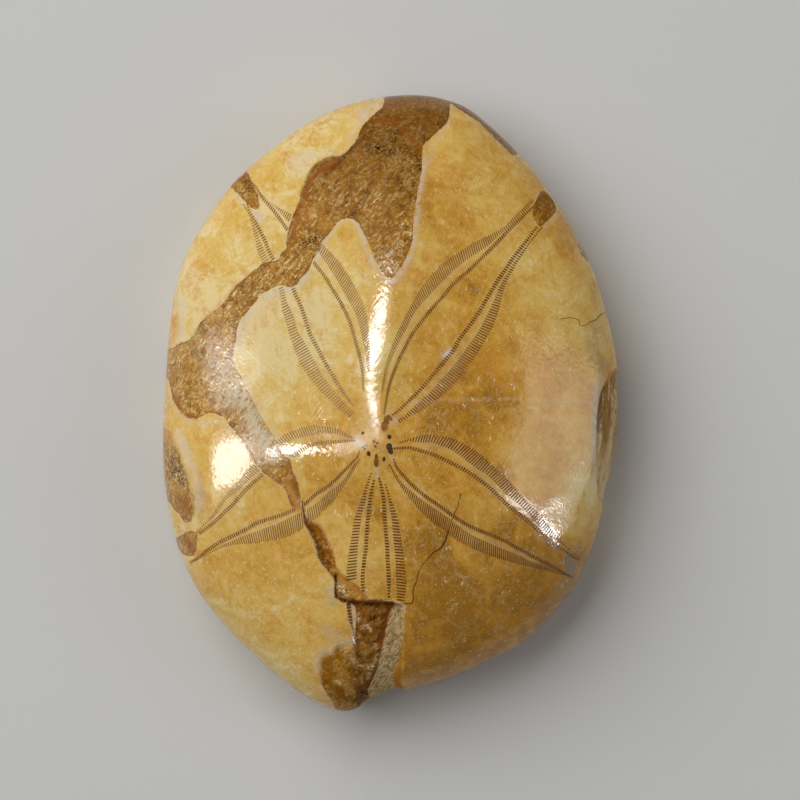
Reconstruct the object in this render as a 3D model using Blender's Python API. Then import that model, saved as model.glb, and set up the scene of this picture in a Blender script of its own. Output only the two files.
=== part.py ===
"""A polished fossil sea urchin of the sea biscuit kind, one solid stone lying on its flat underside.

Metres, +Z up, +Y towards the rear of the shell, origin at the middle of the resting face.
The shell is laid out around its crown, the point where its five petals meet. Every section through
the crown runs over the dome to the rim, round the flank, along the resting land and up into the mouth.
"""

from math import pi, radians, tau

import bmesh
import bpy
import numpy as np

MM = 0.001

# Driving sizes
LENGTH = 95 * MM  # front to rear
HEIGHT = 27 * MM  # resting face to crown
RIM_HEIGHT = 10 * MM  # the level at which the outline is widest
DOME_FULLNESS = 2.0  # 2 is an ellipse, less is more pointed at the crown
DOME_SHOULDER = 0.47  # less is squarer towards the rim
LAND_OUTER = 0.86  # share of the rim's radius where the flank meets the resting land
LAND_INNER = 0.60  # share where the land ends and the dished middle begins
DISH_DEPTH = 2.4 * MM
FURROW_DEPTH = 0.4 * MM
FURROW_HALF_WIDTH = 2.2 * MM
MOUTH_RADIUS = 4.4 * MM
MOUTH_DEPTH = 3.4 * MM  # above the dish
LIP_HEIGHT = 0.8 * MM  # the five lips round the mouth

# The chart: plan places are given in squares, x to the right and y towards the front,
# on a sheet where the shell is CHART_LENGTH squares long.
CHART_LENGTH = 616
SQUARE = LENGTH / CHART_LENGTH
CROWN = (378, 440)
OUTLINE = [
    (414, 95), (450, 101), (477, 115), (520, 155), (552, 195), (576, 235), (595, 275), (607, 315),
    (615, 350), (620, 385), (621, 415), (619, 445), (611, 478), (602, 512), (590, 555), (568, 595), (532, 635),
    (500, 655), (456, 675), (430, 684), (410, 689), (396, 694), (384, 698), (374, 703), (360, 708), (343, 711),
    (325, 706), (304, 695), (277, 675), (234, 635), (201, 595), (181, 555), (170, 515), (164, 475),
    (163, 435), (165, 395), (168, 345), (174, 295), (186, 255), (209, 215), (241, 175), (290, 135),
    (323, 115), (365, 100),
]  # fmt: skip
PETAL_ANGLES = [radians(a) for a in (-91, -33, 55, 117, 210)]

# Low crests that run from the crown towards the rim: the chart points of each, its half width
# at the crown and half a length away, and its height
CRESTS = [
    ([(378, 440), (371, 380), (378, 330), (384, 280), (395, 180)], 4.5 * MM, 8 * MM, 1.1 * MM),
    ([(378, 440), (340, 448), (300, 446), (262, 447), (230, 460), (195, 478)], 4.5 * MM, 11 * MM, 1.0 * MM),
    ([(378, 440), (450, 465), (510, 498), (557, 520), (580, 535)], 5.0 * MM, 11 * MM, 1.0 * MM),
]
# Places where stone has broken away: the chart outline of each, its depth,
# and the width of the slope from its edge to its floor
BREAKS = [
    ([(346, 600), (352, 640), (348, 668), (356, 720), (398, 720), (404, 680), (406, 640), (404, 603), (372, 599)],
     0.9 * MM, 0.7 * MM),
    ([(608, 372), (601, 388), (597, 402), (595, 425), (595, 470), (597, 495), (604, 507), (632, 512), (634, 370)],
     0.5 * MM, 0.9 * MM),
]  # fmt: skip

# The vent, an oval pit in the underside near the rear
VENT = (392, 160)
VENT_HALF_SIZE = (2.8 * MM, 4.0 * MM)
VENT_DEPTH = 1.3 * MM

# Rings and spokes of the mesh
SPOKES = 120
DOME_RINGS = 22
FLANK_RINGS = 5
LAND_RINGS = 5
DISH_RINGS = 5
MOUTH_RINGS = 3


def smooth_loop(points, steps=12):
    """Points along a closed Catmull-Rom curve through the given ones."""
    p = np.array(points, float)
    before, after, beyond = np.roll(p, 1, 0), np.roll(p, -1, 0), np.roll(p, -2, 0)
    curve = []
    for t in np.arange(steps) / steps:
        curve.append(
            0.5 * (2 * p + (after - before) * t + (2 * before - 5 * p + 4 * after - beyond) * t**2
                   + (3 * p - before - 3 * after + beyond) * t**3)
        )  # fmt: skip
    return np.stack(curve, 1).reshape(-1, 2)


RIM = smooth_loop(OUTLINE)
MIDDLE = (RIM.min(0) + RIM.max(0)) / 2


def place(chart_point):
    """The plan place in metres of a point or points of the chart."""
    flat = (np.asarray(chart_point, float) - MIDDLE) * SQUARE
    return flat * (1, -1)


CROWN_AT = place(CROWN)


def rim_radius(angle):
    """Distance from the crown to the rim, seen from above, in that direction."""
    out = place(RIM) - CROWN_AT
    around = np.arctan2(out[:, 1], out[:, 0])
    return np.interp(angle, around[np.argsort(around)], np.hypot(*out.T)[np.argsort(around)], period=tau)


def smoothstep(low, high, value):
    t = np.clip((value - low) / (high - low), 0, 1)
    return t * t * (3 - 2 * t)


def distance_to_line(at, line):
    """Distance from plan places to a line of joined points."""
    nearest = np.full(len(at), np.inf)
    for a, b in zip(line[:-1], line[1:]):
        along = np.clip(((at - a) @ (b - a)) / ((b - a) @ (b - a)), 0, 1)
        nearest = np.minimum(nearest, np.linalg.norm(at - a - along[:, None] * (b - a), axis=1))
    return nearest


def depth_inside(at, corners):
    """How far plan places lie inside a closed shape, negative outside."""
    loop = np.vstack([corners, corners[:1]])
    crossings = np.zeros(len(at), int)
    for a, b in zip(loop[:-1], loop[1:]):
        spans = (a[1] > at[:, 1]) != (b[1] > at[:, 1])
        if a[1] != b[1]:
            meets = a[0] + (at[:, 1] - a[1]) / (b[1] - a[1]) * (b[0] - a[0])
            crossings += spans & (at[:, 0] < meets)
    return np.where(crossings % 2 == 1, 1, -1) * distance_to_line(at, loop)


def crest_rise(at):
    """How far the crests lift the dome, softly joined where they meet."""
    squares = 0
    outward = np.linalg.norm(at - CROWN_AT, axis=1) / (LENGTH / 2)
    for points, narrow, wide, rise in CRESTS:
        half_width = narrow + (wide - narrow) * outward
        off_line = distance_to_line(at, place(points)) / half_width
        squares = squares + (rise * np.exp(-(off_line**2))) ** 2
    return np.sqrt(squares)


def dome_height(at, share):
    """Height of the upper surface, where share is the distance from the crown over the rim's."""
    top = HEIGHT - crest_rise(CROWN_AT[None])
    full = np.clip(1 - share**DOME_FULLNESS, 0, 1) ** DOME_SHOULDER
    return RIM_HEIGHT + (top - RIM_HEIGHT) * full + crest_rise(at) * (1 - smoothstep(0.7, 1.0, share))


def broken_away(at):
    """Depth of stone lost at plan places."""
    lost = np.zeros(len(at))
    for corners, depth, slope in BREAKS:
        lost = np.maximum(lost, depth * smoothstep(0, slope, depth_inside(at, place(corners))))
    return lost


def around(angle, share):
    """Plan places on a ring that lies at this share of the rim's radius."""
    reach = share * rim_radius(angle)
    return CROWN_AT + np.stack([reach * np.cos(angle), reach * np.sin(angle)], 1)


def dome_ring(angle, turn):
    """A ring of the dome: turn goes from 0 at the crown to a quarter turn at the rim."""
    share = np.full(len(angle), np.sin(turn))
    at = around(angle, share)
    lost = broken_away(at)
    inward = at + (CROWN_AT - at) * (lost * share**4 / rim_radius(angle))[:, None]
    return np.column_stack([inward, dome_height(at, share) - lost * (1 - share**4)])


def flank_ring(angle, turn):
    """A ring between the rim, at turn 0, and the resting land, at a quarter turn."""
    share = LAND_OUTER + (1 - LAND_OUTER) * np.cos(turn)
    at = around(angle, share)
    lost = broken_away(at) * np.cos(turn)
    inward = at + (CROWN_AT - at) * (lost / rim_radius(angle))[:, None]
    return np.column_stack([inward, np.full(len(angle), RIM_HEIGHT * (1 - np.sin(turn)))])


def underside_height(at, angle, share):
    """The underside: flat land, a dish with five furrows and five lips round the mouth, and the vent."""
    reach = share * rim_radius(angle)
    height = DISH_DEPTH * (1 - smoothstep(0.15, LAND_INNER, share))
    for petal in PETAL_ANGLES:
        off_line = reach * np.sin(angle - petal)
        ahead = np.cos(angle - petal) > 0
        in_dish = 1 - smoothstep(0.4, LAND_INNER, share)
        height += FURROW_DEPTH * ahead * in_dish * np.exp(-((off_line / FURROW_HALF_WIDTH) ** 2))
    lips = np.cos(5 * (angle - PETAL_ANGLES[0]) + pi).clip(0, 1)
    height -= LIP_HEIGHT * lips * np.exp(-(((reach - 1.4 * MOUTH_RADIUS) / (1.5 * MM)) ** 2))
    off_vent = np.hypot(*((at - place(VENT)) / VENT_HALF_SIZE).T)
    return height + VENT_DEPTH * (1 - smoothstep(0.5, 1.1, off_vent))


def underside_ring(angle, share):
    at = around(angle, share)
    return np.column_stack([at, underside_height(at, angle, share)])


def mouth_ring(angle, step):
    """A ring of the mouth's wall: step goes from 0 at its edge to 1 at its roof."""
    reach = MOUTH_RADIUS * (1 + 0.07 * np.cos(5 * (angle - PETAL_ANGLES[0]))) * (1 - 0.6 * step**2)
    out = np.stack([np.cos(angle), np.sin(angle)], 1) * reach[:, None]
    height = DISH_DEPTH + MOUTH_DEPTH * np.sqrt(step)
    return np.column_stack([CROWN_AT + out, np.full(len(angle), height)])


def all_rings():
    """Every ring of the stone from just off the crown to just off the middle of the mouth's roof."""
    angle = np.arange(SPOKES) / SPOKES * tau
    rings = [dome_ring(angle, pi / 2 * k / DOME_RINGS) for k in range(1, DOME_RINGS + 1)]
    rings += [flank_ring(angle, pi / 2 * k / FLANK_RINGS) for k in range(1, FLANK_RINGS + 1)]
    land = np.linspace(LAND_OUTER, LAND_INNER, LAND_RINGS + 1)[1:]
    rings += [underside_ring(angle, np.full(SPOKES, share)) for share in land]
    mouth_share = 1.05 * MOUTH_RADIUS / rim_radius(angle)
    for k in range(1, DISH_RINGS + 1):
        rings.append(underside_ring(angle, LAND_INNER + (mouth_share - LAND_INNER) * k / DISH_RINGS))
    rings += [mouth_ring(angle, k / MOUTH_RINGS) for k in range(1, MOUTH_RINGS + 1)]
    return rings


def clear_scene():
    for old in list(bpy.data.objects):
        bpy.data.objects.remove(old)


def stone_finish():
    finish = bpy.data.materials.new("polished_fossil")
    finish.use_nodes = True
    shader = finish.node_tree.nodes["Principled BSDF"]
    shader.inputs["Base Color"].default_value = (0.60, 0.38, 0.13, 1)
    shader.inputs["Roughness"].default_value = 0.12
    shader.inputs["Metallic"].default_value = 0.0
    return finish


def build_fossil():
    """Bridges the rings into one closed mesh, capped at the crown and at the roof of the mouth."""
    rings = all_rings()
    crown = (*CROWN_AT, HEIGHT)
    roof = (*CROWN_AT, DISH_DEPTH + MOUTH_DEPTH)
    bm = bmesh.new()
    loops = [[bm.verts.new(p) for p in ring] for ring in rings]
    top, bottom = bm.verts.new(crown), bm.verts.new(roof)
    for i in range(SPOKES):
        j = (i + 1) % SPOKES
        bm.faces.new((top, loops[0][i], loops[0][j]))
        bm.faces.new((bottom, loops[-1][j], loops[-1][i]))
        for upper, lower in zip(loops[:-1], loops[1:]):
            bm.faces.new((upper[i], lower[i], lower[j], upper[j]))
    bmesh.ops.triangulate(bm, faces=bm.faces[:])
    mesh = bpy.data.meshes.new("fossil_sea_urchin")
    bm.to_mesh(mesh)
    bm.free()
    mesh.shade_smooth()
    fossil = bpy.data.objects.new("fossil_sea_urchin", mesh)
    fossil.data.materials.append(stone_finish())
    bpy.context.scene.collection.objects.link(fossil)
    return fossil


clear_scene()
build_fossil()
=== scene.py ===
"""The finished look of the fossil sea urchin, with its floor, lights and camera."""

from math import cos, pi, radians, sin, tan, tau

import bpy
import numpy as np
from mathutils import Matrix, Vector, noise


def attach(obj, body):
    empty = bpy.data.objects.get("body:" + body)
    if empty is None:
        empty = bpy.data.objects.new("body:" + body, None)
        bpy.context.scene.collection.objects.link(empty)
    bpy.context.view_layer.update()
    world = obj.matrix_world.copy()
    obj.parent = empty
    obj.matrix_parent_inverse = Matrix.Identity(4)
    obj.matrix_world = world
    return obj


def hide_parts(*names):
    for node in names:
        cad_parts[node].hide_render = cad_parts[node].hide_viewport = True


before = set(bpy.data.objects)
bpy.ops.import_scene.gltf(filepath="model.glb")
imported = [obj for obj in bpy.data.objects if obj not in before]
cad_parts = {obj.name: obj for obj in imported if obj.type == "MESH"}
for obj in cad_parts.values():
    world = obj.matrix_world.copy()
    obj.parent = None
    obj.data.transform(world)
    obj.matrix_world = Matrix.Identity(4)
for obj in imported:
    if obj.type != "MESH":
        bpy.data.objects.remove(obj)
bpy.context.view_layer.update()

MM = 0.001

# ---------------------------------------------------------------- the stone's shape, sized as in the CAD
LENGTH = 95 * MM
HEIGHT = 27 * MM
RIM_HEIGHT = 10 * MM
DOME_FULLNESS = 2.0
DOME_SHOULDER = 0.47
LAND_OUTER = 0.86
LAND_INNER = 0.60
DISH_DEPTH = 2.4 * MM
DISH_FLOOR = 0.15  # inside this share of the way to the rim the dish has its full depth
DISH_END = 1.05  # where the dish meets the mouth, over the mouth's radius
FURROW_DEPTH = 0.4 * MM
FURROW_HALF_WIDTH = 2.2 * MM
FURROW_FADE = 0.4  # the furrows fade out from this share of the way to the rim
MOUTH_RADIUS = 4.4 * MM
MOUTH_DEPTH = 3.4 * MM
MOUTH_LOBES = 0.07
MOUTH_TAPER = 0.6
LIP_HEIGHT = 0.8 * MM
LIP_HALF_WIDTH = 1.5 * MM
LIPS_AT = 1.4  # how far out the lips are, over the mouth's radius
VENT = (392, 160)
VENT_HALF_SIZE = (2.8 * MM, 4.0 * MM)
VENT_DEPTH = 1.3 * MM
VENT_SLOPE = (0.5, 1.1)  # from where to where its wall slopes, over its half size

CHART_LENGTH = 616
SQUARE = LENGTH / CHART_LENGTH
CROWN = (378, 440)
OUTLINE = [
    (414, 95), (450, 101), (477, 115), (520, 155), (552, 195), (576, 235), (595, 275), (607, 315), (615, 350),
    (620, 385), (621, 415), (619, 445), (611, 478), (602, 512), (590, 555), (568, 595), (532, 635),
    (500, 655), (456, 675), (430, 684), (410, 689), (396, 694), (384, 698), (374, 703), (360, 708),
    (343, 711), (325, 706), (304, 695), (277, 675), (234, 635), (201, 595), (181, 555), (170, 515),
    (164, 475), (163, 435), (165, 395), (168, 345), (174, 295), (186, 255), (209, 215), (241, 175),
    (290, 135), (323, 115), (365, 100),
]  # fmt: skip
PETAL_ANGLES = [radians(a) for a in (-91, -33, 55, 117, 210)]
# Each crest: its line, its half width at the crown and at the rim, and its rise
CRESTS = [
    ([(378, 440), (371, 380), (378, 330), (384, 280), (395, 180)], 4.5 * MM, 8 * MM, 1.1 * MM),
    ([(378, 440), (340, 448), (300, 446), (262, 447), (230, 460), (195, 478)], 4.5 * MM, 11 * MM, 1.0 * MM),
    ([(378, 440), (450, 465), (510, 498), (557, 520), (580, 535)], 5.0 * MM, 11 * MM, 1.0 * MM),
]
CREST_FADE = 0.7  # the crests fade out from this share of the way to the rim
FRONT_BREAK = [
    (346, 600), (352, 640), (348, 668), (356, 720), (398, 720), (404, 680), (406, 640), (404, 603),
    (372, 599),
]  # fmt: skip
RIM_HOLLOW = [
    (608, 372), (601, 388), (597, 402), (595, 425), (595, 470), (597, 495), (604, 507), (632, 512),
    (634, 370),
]  # fmt: skip
# Each break: its corners, its depth and how wide its wall is
BREAKS = [(FRONT_BREAK, 0.9 * MM, 0.4 * MM), (RIM_HOLLOW, 0.5 * MM, 0.5 * MM)]
# Where a break slopes up gently instead: line, half width in millimetres and strength
GENTLE_WALLS = [([(350, 646), (347, 668), (352, 700), (356, 716)], 1.5, 1.0)]
GENTLE_WIDTH = 2.2 * MM
GENTLE_POLISH = 1.3  # how far such a slope takes the polish into the break, in millimetres
BREAK_GRAIN = 1.1 * MM
BREAK_ROUGHNESS = 0.22 * MM
ROUGH_FROM = 0.1 * MM  # a break's floor is rough where it is deeper than this
ROCK_SINK = 0.03 * MM  # the rock polishes away a little faster than the shell
ROCK_STEP = (-0.1, 0.4)  # from where to where the rock sinks in, in millimetres inside its line
WAVINESS = 0.05 * MM
WAVES = [(9 * MM, 1.0), (3.5 * MM, 0.4)]  # how long each wave of the polish is, and its part of the waviness
# From where to where the polish's low relief ends: at a break, in millimetres inside its line, and at the
# rim, over the way from the crown
POLISH_AT_BREAK = (0.3, -0.2)
POLISH_AT_RIM = (1.0, 0.9)
# Places where the grinding left a flatter facet: chart place, radius and how much is taken off
FLATS = [
    ((231, 462), 4.6 * MM, 0.14 * MM),
    ((556, 515), 3.4 * MM, 0.13 * MM),
    ((381, 338), 3.4 * MM, 0.09 * MM),
]

# How fine the stone's mesh is
RIM_POINTS = 640
DOME_RINGS = 130
FLANK_RINGS = 16
LAND_RINGS = 8
DISH_RINGS = 14
MOUTH_RINGS = 5

# ---------------------------------------------------------------- the stone's markings, in chart squares
ROCK_PATCHES = [
    # the great patch that crosses the shell from the rear to the left rim and down to the front left petal
    [(390, 92), (383, 107), (373, 116), (363, 127), (357, 140), (350, 150), (342, 157), (330, 158),
     (318, 163), (312, 170), (308, 178), (302, 192), (300, 202), (295, 213), (292, 222), (289, 232),
     (287, 242), (287, 249), (282, 255), (277, 262), (267, 263), (257, 270), (248, 277), (238, 285),
     (230, 296), (220, 308), (210, 313), (205, 320), (200, 325), (195, 335), (187, 342), (180, 344),
     (173, 348), (158, 352), (160, 378), (169, 379), (171, 390), (175, 403), (181, 411), (187, 416),
     (195, 419), (202, 417), (207, 414), (213, 413), (220, 415), (227, 420), (233, 428), (238, 435),
     (245, 443), (250, 452), (257, 463), (265, 472), (272, 477), (280, 483), (287, 490), (290, 498),
     (293, 505), (300, 507), (302, 500), (300, 488), (297, 477), (293, 468), (291, 458), (283, 453),
     (277, 440), (272, 432), (265, 420), (258, 408), (252, 397), (245, 383), (240, 373), (235, 363),
     (234, 355), (237, 340), (238, 330), (242, 320), (248, 313), (257, 302), (263, 295), (272, 290),
     (282, 286), (290, 288), (298, 285), (303, 278), (310, 270), (314, 260), (320, 250), (323, 243),
     (332, 232), (340, 222), (350, 220), (357, 223), (363, 233), (368, 243), (372, 253), (377, 265),
     (383, 275), (390, 280), (397, 273), (403, 265), (408, 255), (412, 243), (413, 227), (415, 210),
     (417, 195), (420, 182), (422, 168), (422, 155), (423, 148), (428, 142), (433, 137), (440, 130),
     (447, 124), (449, 115), (449, 107), (446, 94)],
    # the vein from the front left petal to the front break
    [(302, 500), (306, 507), (307, 516), (310, 520), (317, 523), (322, 528), (327, 537), (331, 547),
     (335, 555), (337, 567), (342, 573), (350, 578), (360, 587), (365, 593), (368, 600), (346, 601),
     (339, 598), (336, 595), (336, 580), (332, 573), (325, 565), (319, 557), (318, 550), (315, 540),
     (310, 530), (306, 523), (303, 510)],
    # the floor of the front break and the ochre rock left of it
    [(354, 600), (396, 601), (398, 640), (391, 662), (385, 680), (380, 692), (374, 712), (342, 720),
     (333, 702), (327, 693), (322, 683), (322, 672), (322, 658), (326, 655), (333, 653), (337, 646),
     (345, 645), (351, 648), (353, 644), (355.5, 631), (356.3, 617), (355.7, 606)],
    # the tips of the two rear petals
    [(240, 178), (247, 172), (251, 180), (257, 192), (260, 203), (259, 210), (252, 209), (245, 202),
     (237, 193), (230, 185)],
    [(540, 192), (545, 192), (550, 197), (555, 205), (555, 213), (548, 220), (540, 227), (535, 223),
     (532, 215), (533, 207), (537, 198)],
    # the left rim
    [(155, 428), (165, 428), (171, 433), (174, 444), (180, 453), (184, 466), (188, 476), (190, 487),
     (194, 496), (195, 508), (192, 520), (186, 522), (180, 514), (174, 508), (168, 500), (158, 495)],
    [(172, 542), (181, 535), (189, 531), (198, 532), (198, 544), (195, 553), (192, 556), (183, 553)],
    # the right rim
    [(613, 374), (608, 380), (601, 392), (598, 404), (597, 420), (597, 445), (596, 470), (597, 490),
     (602, 503), (630, 512), (630, 374)],
    [(449, 96), (453, 106), (480, 124), (510, 154), (515, 148), (480, 110)],
    [(577, 244), (580, 253), (587, 262), (592, 258), (584, 244)],
]  # fmt: skip
BROKEN_PATCHES = ROCK_PATCHES[1:5]  # the vein, the front break and the two rear tips, which hardly shine
BROKEN_FROM = 0.1  # how deep in them, in millimetres, the stone shines no more
DEPTH_LIMIT = 4  # depths in a patch are told apart up to this many millimetres
UNDERSIDE_FADE = 45  # how fast the patches end under the stone, in millimetres for the whole way to the crown
MOUTH_ROCK = 1.35  # how far the rock goes round the mouth and in the vent, over their own sizes
VENT_ROCK = 0.95
VENT_BREADTH = 3.2  # in millimetres
MOUTH_RAW = 0.8  # how much further than the rock the mouth is unpolished, in millimetres
LINES_FADE = (0.3, 0.8)  # from where to where up the flank the lines fade in, over the rim's height
# The pale face of the front break, raw like its floor
CHALK_PATCHES = [
    [(394.5, 603), (399, 601.5), (405, 603), (406, 607), (404, 614), (404, 622), (402.5, 640), (399.5, 655),
     (396, 664), (394.5, 672), (394, 681), (396, 692), (392, 700), (372, 700), (368, 690), (371, 682),
     (376, 670), (380, 655), (383, 641), (386, 628), (389, 613)],
]  # fmt: skip
# Lines along which the shell has a pale rim, a rust stain, or a grey bloom: points, half width and strength
PALE_LINES = [
    ([(412, 402), (455, 400), (520, 399), (592, 402)], 0.17, 0.45),
    ([(424, 160), (420, 190), (416, 220), (412, 248), (404, 268), (391, 284), (378, 272), (368, 250),
      (357, 226), (348, 216), (334, 228), (322, 248), (312, 268), (302, 284), (290, 292), (272, 295),
      (254, 312), (242, 332), (239, 356)], 0.55, 0.9),
    ([(239, 356), (250, 385), (270, 420), (286, 450)], 0.4, 0.5),
    ([(383, 102), (372, 110), (364, 116)], 1.2, 1.0),
    ([(360, 124), (350, 140)], 0.5, 0.7),
    ([(296, 162), (312, 157)], 0.9, 0.8),
    ([(332, 152), (312, 160), (300, 175)], 0.6, 0.4),
    ([(181, 300), (183, 320), (182, 338)], 0.6, 1.0),
    ([(176, 395), (182, 416), (200, 424), (222, 422), (240, 448)], 0.5, 0.6),
    ([(256, 213), (262, 222)], 0.6, 0.9),
    ([(236, 196), (243, 206)], 0.35, 0.8),
    ([(556, 215), (545, 228)], 0.4, 0.5),
    ([(600, 376), (595, 400), (593, 440), (594, 485)], 0.45, 0.9),
    ([(180, 434), (194, 470), (202, 505)], 0.8, 0.9),
    ([(352.6, 602), (354.3, 612), (354.8, 632), (353.5, 644)], 0.26, 1.4),
    ([(376.7, 467), (376.7, 475)], 0.36, 1.0),
    ([(390, 413), (394, 417)], 0.6, 0.8),
    ([(392, 424), (397, 420)], 0.4, 0.8),
    ([(393, 444), (395, 447)], 0.25, 1.0),
    ([(390, 455), (393, 461)], 0.25, 0.7),
    ([(357, 441), (362, 444)], 0.7, 0.8),
    ([(373, 422), (378, 424)], 0.5, 0.6),
    ([(452, 118), (436, 142), (428, 165)], 0.5, 0.5),
    # painted highlight: a small pale spot where a lamp's glint falls
    ([(445, 356), (449, 352)], 0.5, 1.6),
    ([(328, 629), (342, 638)], 0.8, 0.6),
    ([(331, 587), (331, 601)], 0.7, 0.6),
    ([(318, 668), (321, 654), (333, 647), (345, 640)], 0.8, 0.6),
]  # fmt: skip
RUST_LINES = [
    ([(305, 198), (311, 184), (320, 172), (343, 164)], 0.55, 1.0),
    ([(302, 205), (296, 222), (293, 240)], 0.45, 1.0),
    ([(329, 560), (335, 569), (344, 577), (356, 587), (364, 597)], 0.5, 1.0),
    ([(288, 464), (294, 478), (298, 488)], 0.7, 0.5),
    ([(310, 520), (320, 528), (326, 541), (332, 556)], 0.7, 1.0),
    ([(290, 488), (296, 500), (298, 508)], 0.9, 1.0),
    ([(376, 122), (388, 122), (403, 131), (413, 141), (421, 158)], 0.32, 1.0),
    ([(175, 395), (184, 412), (197, 417)], 0.5, 0.8),
    ([(240, 285), (215, 311)], 0.4, 0.4),
    ([(262, 472), (280, 488)], 0.4, 0.5),
    ([(167, 306), (169, 342)], 1.0, 0.75),
    ([(175, 318), (175, 334)], 0.5, 0.9),
    ([(397, 671), (397, 684)], 0.5, 1.3),
    ([(188, 541), (195, 552)], 0.7, 1.0),
    ([(357.5, 604), (358, 622), (356, 634)], 0.35, 0.9),
    ([(360, 603), (384, 604), (391, 604)], 0.4, 1.0),
    ([(388, 607), (384, 620), (381, 636), (377, 652)], 0.75, 1.0),
    ([(362, 626), (368, 624), (371, 630)], 0.3, 0.7),
    ([(325, 655), (324, 680)], 0.6, 0.6),
    ([(240, 178), (247, 173)], 0.5, 0.8),
    ([(390, 100), (384, 108)], 0.5, 0.8),
    ([(179, 500), (188, 508)], 0.7, 0.6),
    ([(375, 440), (376, 446)], 0.55, 0.6),
]
OCHRE_LINES = [
    ([(328, 662), (332, 680), (340, 695)], 1.5, 1.0),
    ([(295, 485), (300, 497)], 0.6, 1.0),
    ([(321, 545), (330, 565)], 0.35, 0.6),
    ([(182, 494), (190, 512)], 0.9, 0.9),
    ([(541, 196), (544, 220)], 1.6, 1.2),
    ([(245, 176), (254, 204)], 0.8, 0.4),
    ([(372, 225), (395, 262)], 1.4, 0.4),
    ([(370, 611), (371, 628), (366, 646)], 0.9, 1.0),
    ([(340, 655), (352, 672), (346, 690)], 1.5, 0.8),
    ([(390, 192), (384, 215), (395, 235)], 1.2, 0.5),
]
DARK_AND_SHADE_LINES = [
    ([(373, 132), (362, 141), (352, 150), (338, 165), (325, 177)], 0.28, 0.8),
    ([(373, 183), (364, 198), (352, 217)], 0.28, 0.7),
    ([(336, 574), (336, 594), (341, 598), (355, 600.5)], 0.36, 1.3),
    ([(306, 521), (313, 530), (319, 544), (328, 563)], 0.48, 0.85),
    # these two, along the top of the front break, are painted shade under its step edge
    ([(356, 601), (380, 602), (392, 601)], 0.35, 1.0),
    ([(359, 601.8), (380, 602.4), (393, 602)], 0.3, 1.2),
    ([(380, 652), (375, 668), (371, 682), (363, 692)], 0.45, 0.9),
    ([(341, 690), (352, 700), (364, 690)], 0.8, 0.5),
    ([(240, 440), (258, 470), (280, 484)], 0.3, 0.5),
    ([(302, 507), (318, 550), (334, 578)], 0.28, 0.8),
    ([(389, 605), (385, 620), (380, 640)], 0.55, 0.65),
    ([(603, 384), (600, 400), (598, 430)], 0.7, 0.9),
    ([(198, 330), (176, 345)], 0.3, 0.5),
]
SPECK_LINES = [
    ([(371, 148), (390, 153)], 0.9, 1.0),
    ([(404, 150), (416, 158), (421, 168)], 0.8, 1.0),
    ([(303, 247), (318, 238)], 0.9, 1.0),
    ([(438, 125), (448, 121), (448, 110)], 0.35, 1.0),
    ([(425, 139), (430, 145)], 0.5, 1.0),
    ([(396, 132), (394, 143)], 0.6, 0.9),
    ([(376, 609), (373, 613), (373, 618)], 0.33, 1.9),
    ([(363, 691), (367, 693)], 0.3, 1.8),
    ([(344, 593), (339, 596)], 0.25, 1.3),
    ([(174, 460), (184, 482)], 1.0, 0.8),
    ([(243, 178), (250, 190)], 0.5, 0.7),
    ([(395, 180), (408, 200)], 0.8, 0.6),
]
GREY_LINES = [
    ([(596, 332), (592, 352), (601, 366)], 1.3, 0.8),
    ([(606, 366), (598, 384), (594, 404), (593, 440), (593, 470)], 0.5, 0.9),
    ([(567, 559), (571, 568)], 0.7, 3.0),
    ([(166, 446), (174, 462), (181, 478)], 0.9, 1.0),
    ([(330, 590), (331, 602)], 0.9, 0.45),
    ([(322, 628), (338, 634), (345, 640)], 1.0, 0.4),
    ([(320, 664), (322, 654), (333, 648), (341, 641), (348, 642)], 0.6, 0.65),
    ([(200, 490), (203, 520)], 0.7, 0.5),
    ([(385, 130), (395, 155)], 0.8, 0.4),
]
# Lines along which the rock is tan, light as worn wood, and lines where shell and rock fade into each other
TAN_LINES = [
    ([(337, 574), (350, 584), (364, 598)], 0.6, 0.7),
    ([(287, 484), (294, 494), (299, 506)], 0.5, 0.9),
    ([(338, 668), (352, 690)], 0.5, 0.35),
    ([(365, 650), (362, 640)], 0.5, 0.5),
    ([(165, 432), (172, 446)], 0.7, 0.8),
    ([(171, 486), (181, 490)], 0.5, 0.7),
]
# Pale silvery lines on the rock: the first three, on the left, are painted glare where the left lamps'
# reflection breaks up on the rock; the others, by the vein and in the hollow, are pale streaks in the rock
SILVER_AND_GLARE_LINES = [
    ([(238, 388), (256, 420), (272, 452)], 1.6, 1.0),
    ([(224, 366), (232, 400)], 1.6, 0.7),
    ([(200, 345), (222, 380)], 2.4, 0.3),
    ([(302, 499), (304, 512)], 0.4, 0.6),
    ([(616, 392), (614, 416), (610, 442), (605, 470), (601, 492)], 0.45, 0.9),
]
# Lines of pale crumbs in the broken rock
CRUMB_LINES = [
    ([(352, 655), (357, 663), (364, 666), (373, 665)], 0.34, 1.0),
    ([(341, 585), (345, 591)], 0.5, 1.2),
    ([(358, 611), (359, 619)], 0.3, 0.9),
    ([(361, 626), (367, 624), (371, 629)], 0.25, 0.9),
    ([(336, 679), (340, 682)], 0.28, 1.0),
    ([(354, 678), (356, 680)], 0.2, 1.1),
    ([(361, 676), (362, 677)], 0.17, 1.1),
    ([(374, 640), (378, 652), (368, 676)], 0.3, 0.6),
]
SOFT_LINES = [
    ([(320, 676), (321, 656), (334, 648), (344, 643), (351, 648)], 0.9, 1.0),
    ([(300, 196), (304, 180), (316, 166), (330, 158), (346, 154)], 0.4, 0.4),
    ([(333, 566), (341, 572), (352, 580), (367, 596)], 0.35, 1.0),
    ([(306, 519), (320, 524), (328, 538), (334, 556)], 0.3, 0.8),
    ([(288, 484), (296, 492), (302, 504)], 0.4, 0.7),
    ([(397, 671), (397, 684)], 0.4, 0.6),
    ([(172, 432), (184, 462), (193, 490), (196, 510)], 0.6, 0.8),
]
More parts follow.
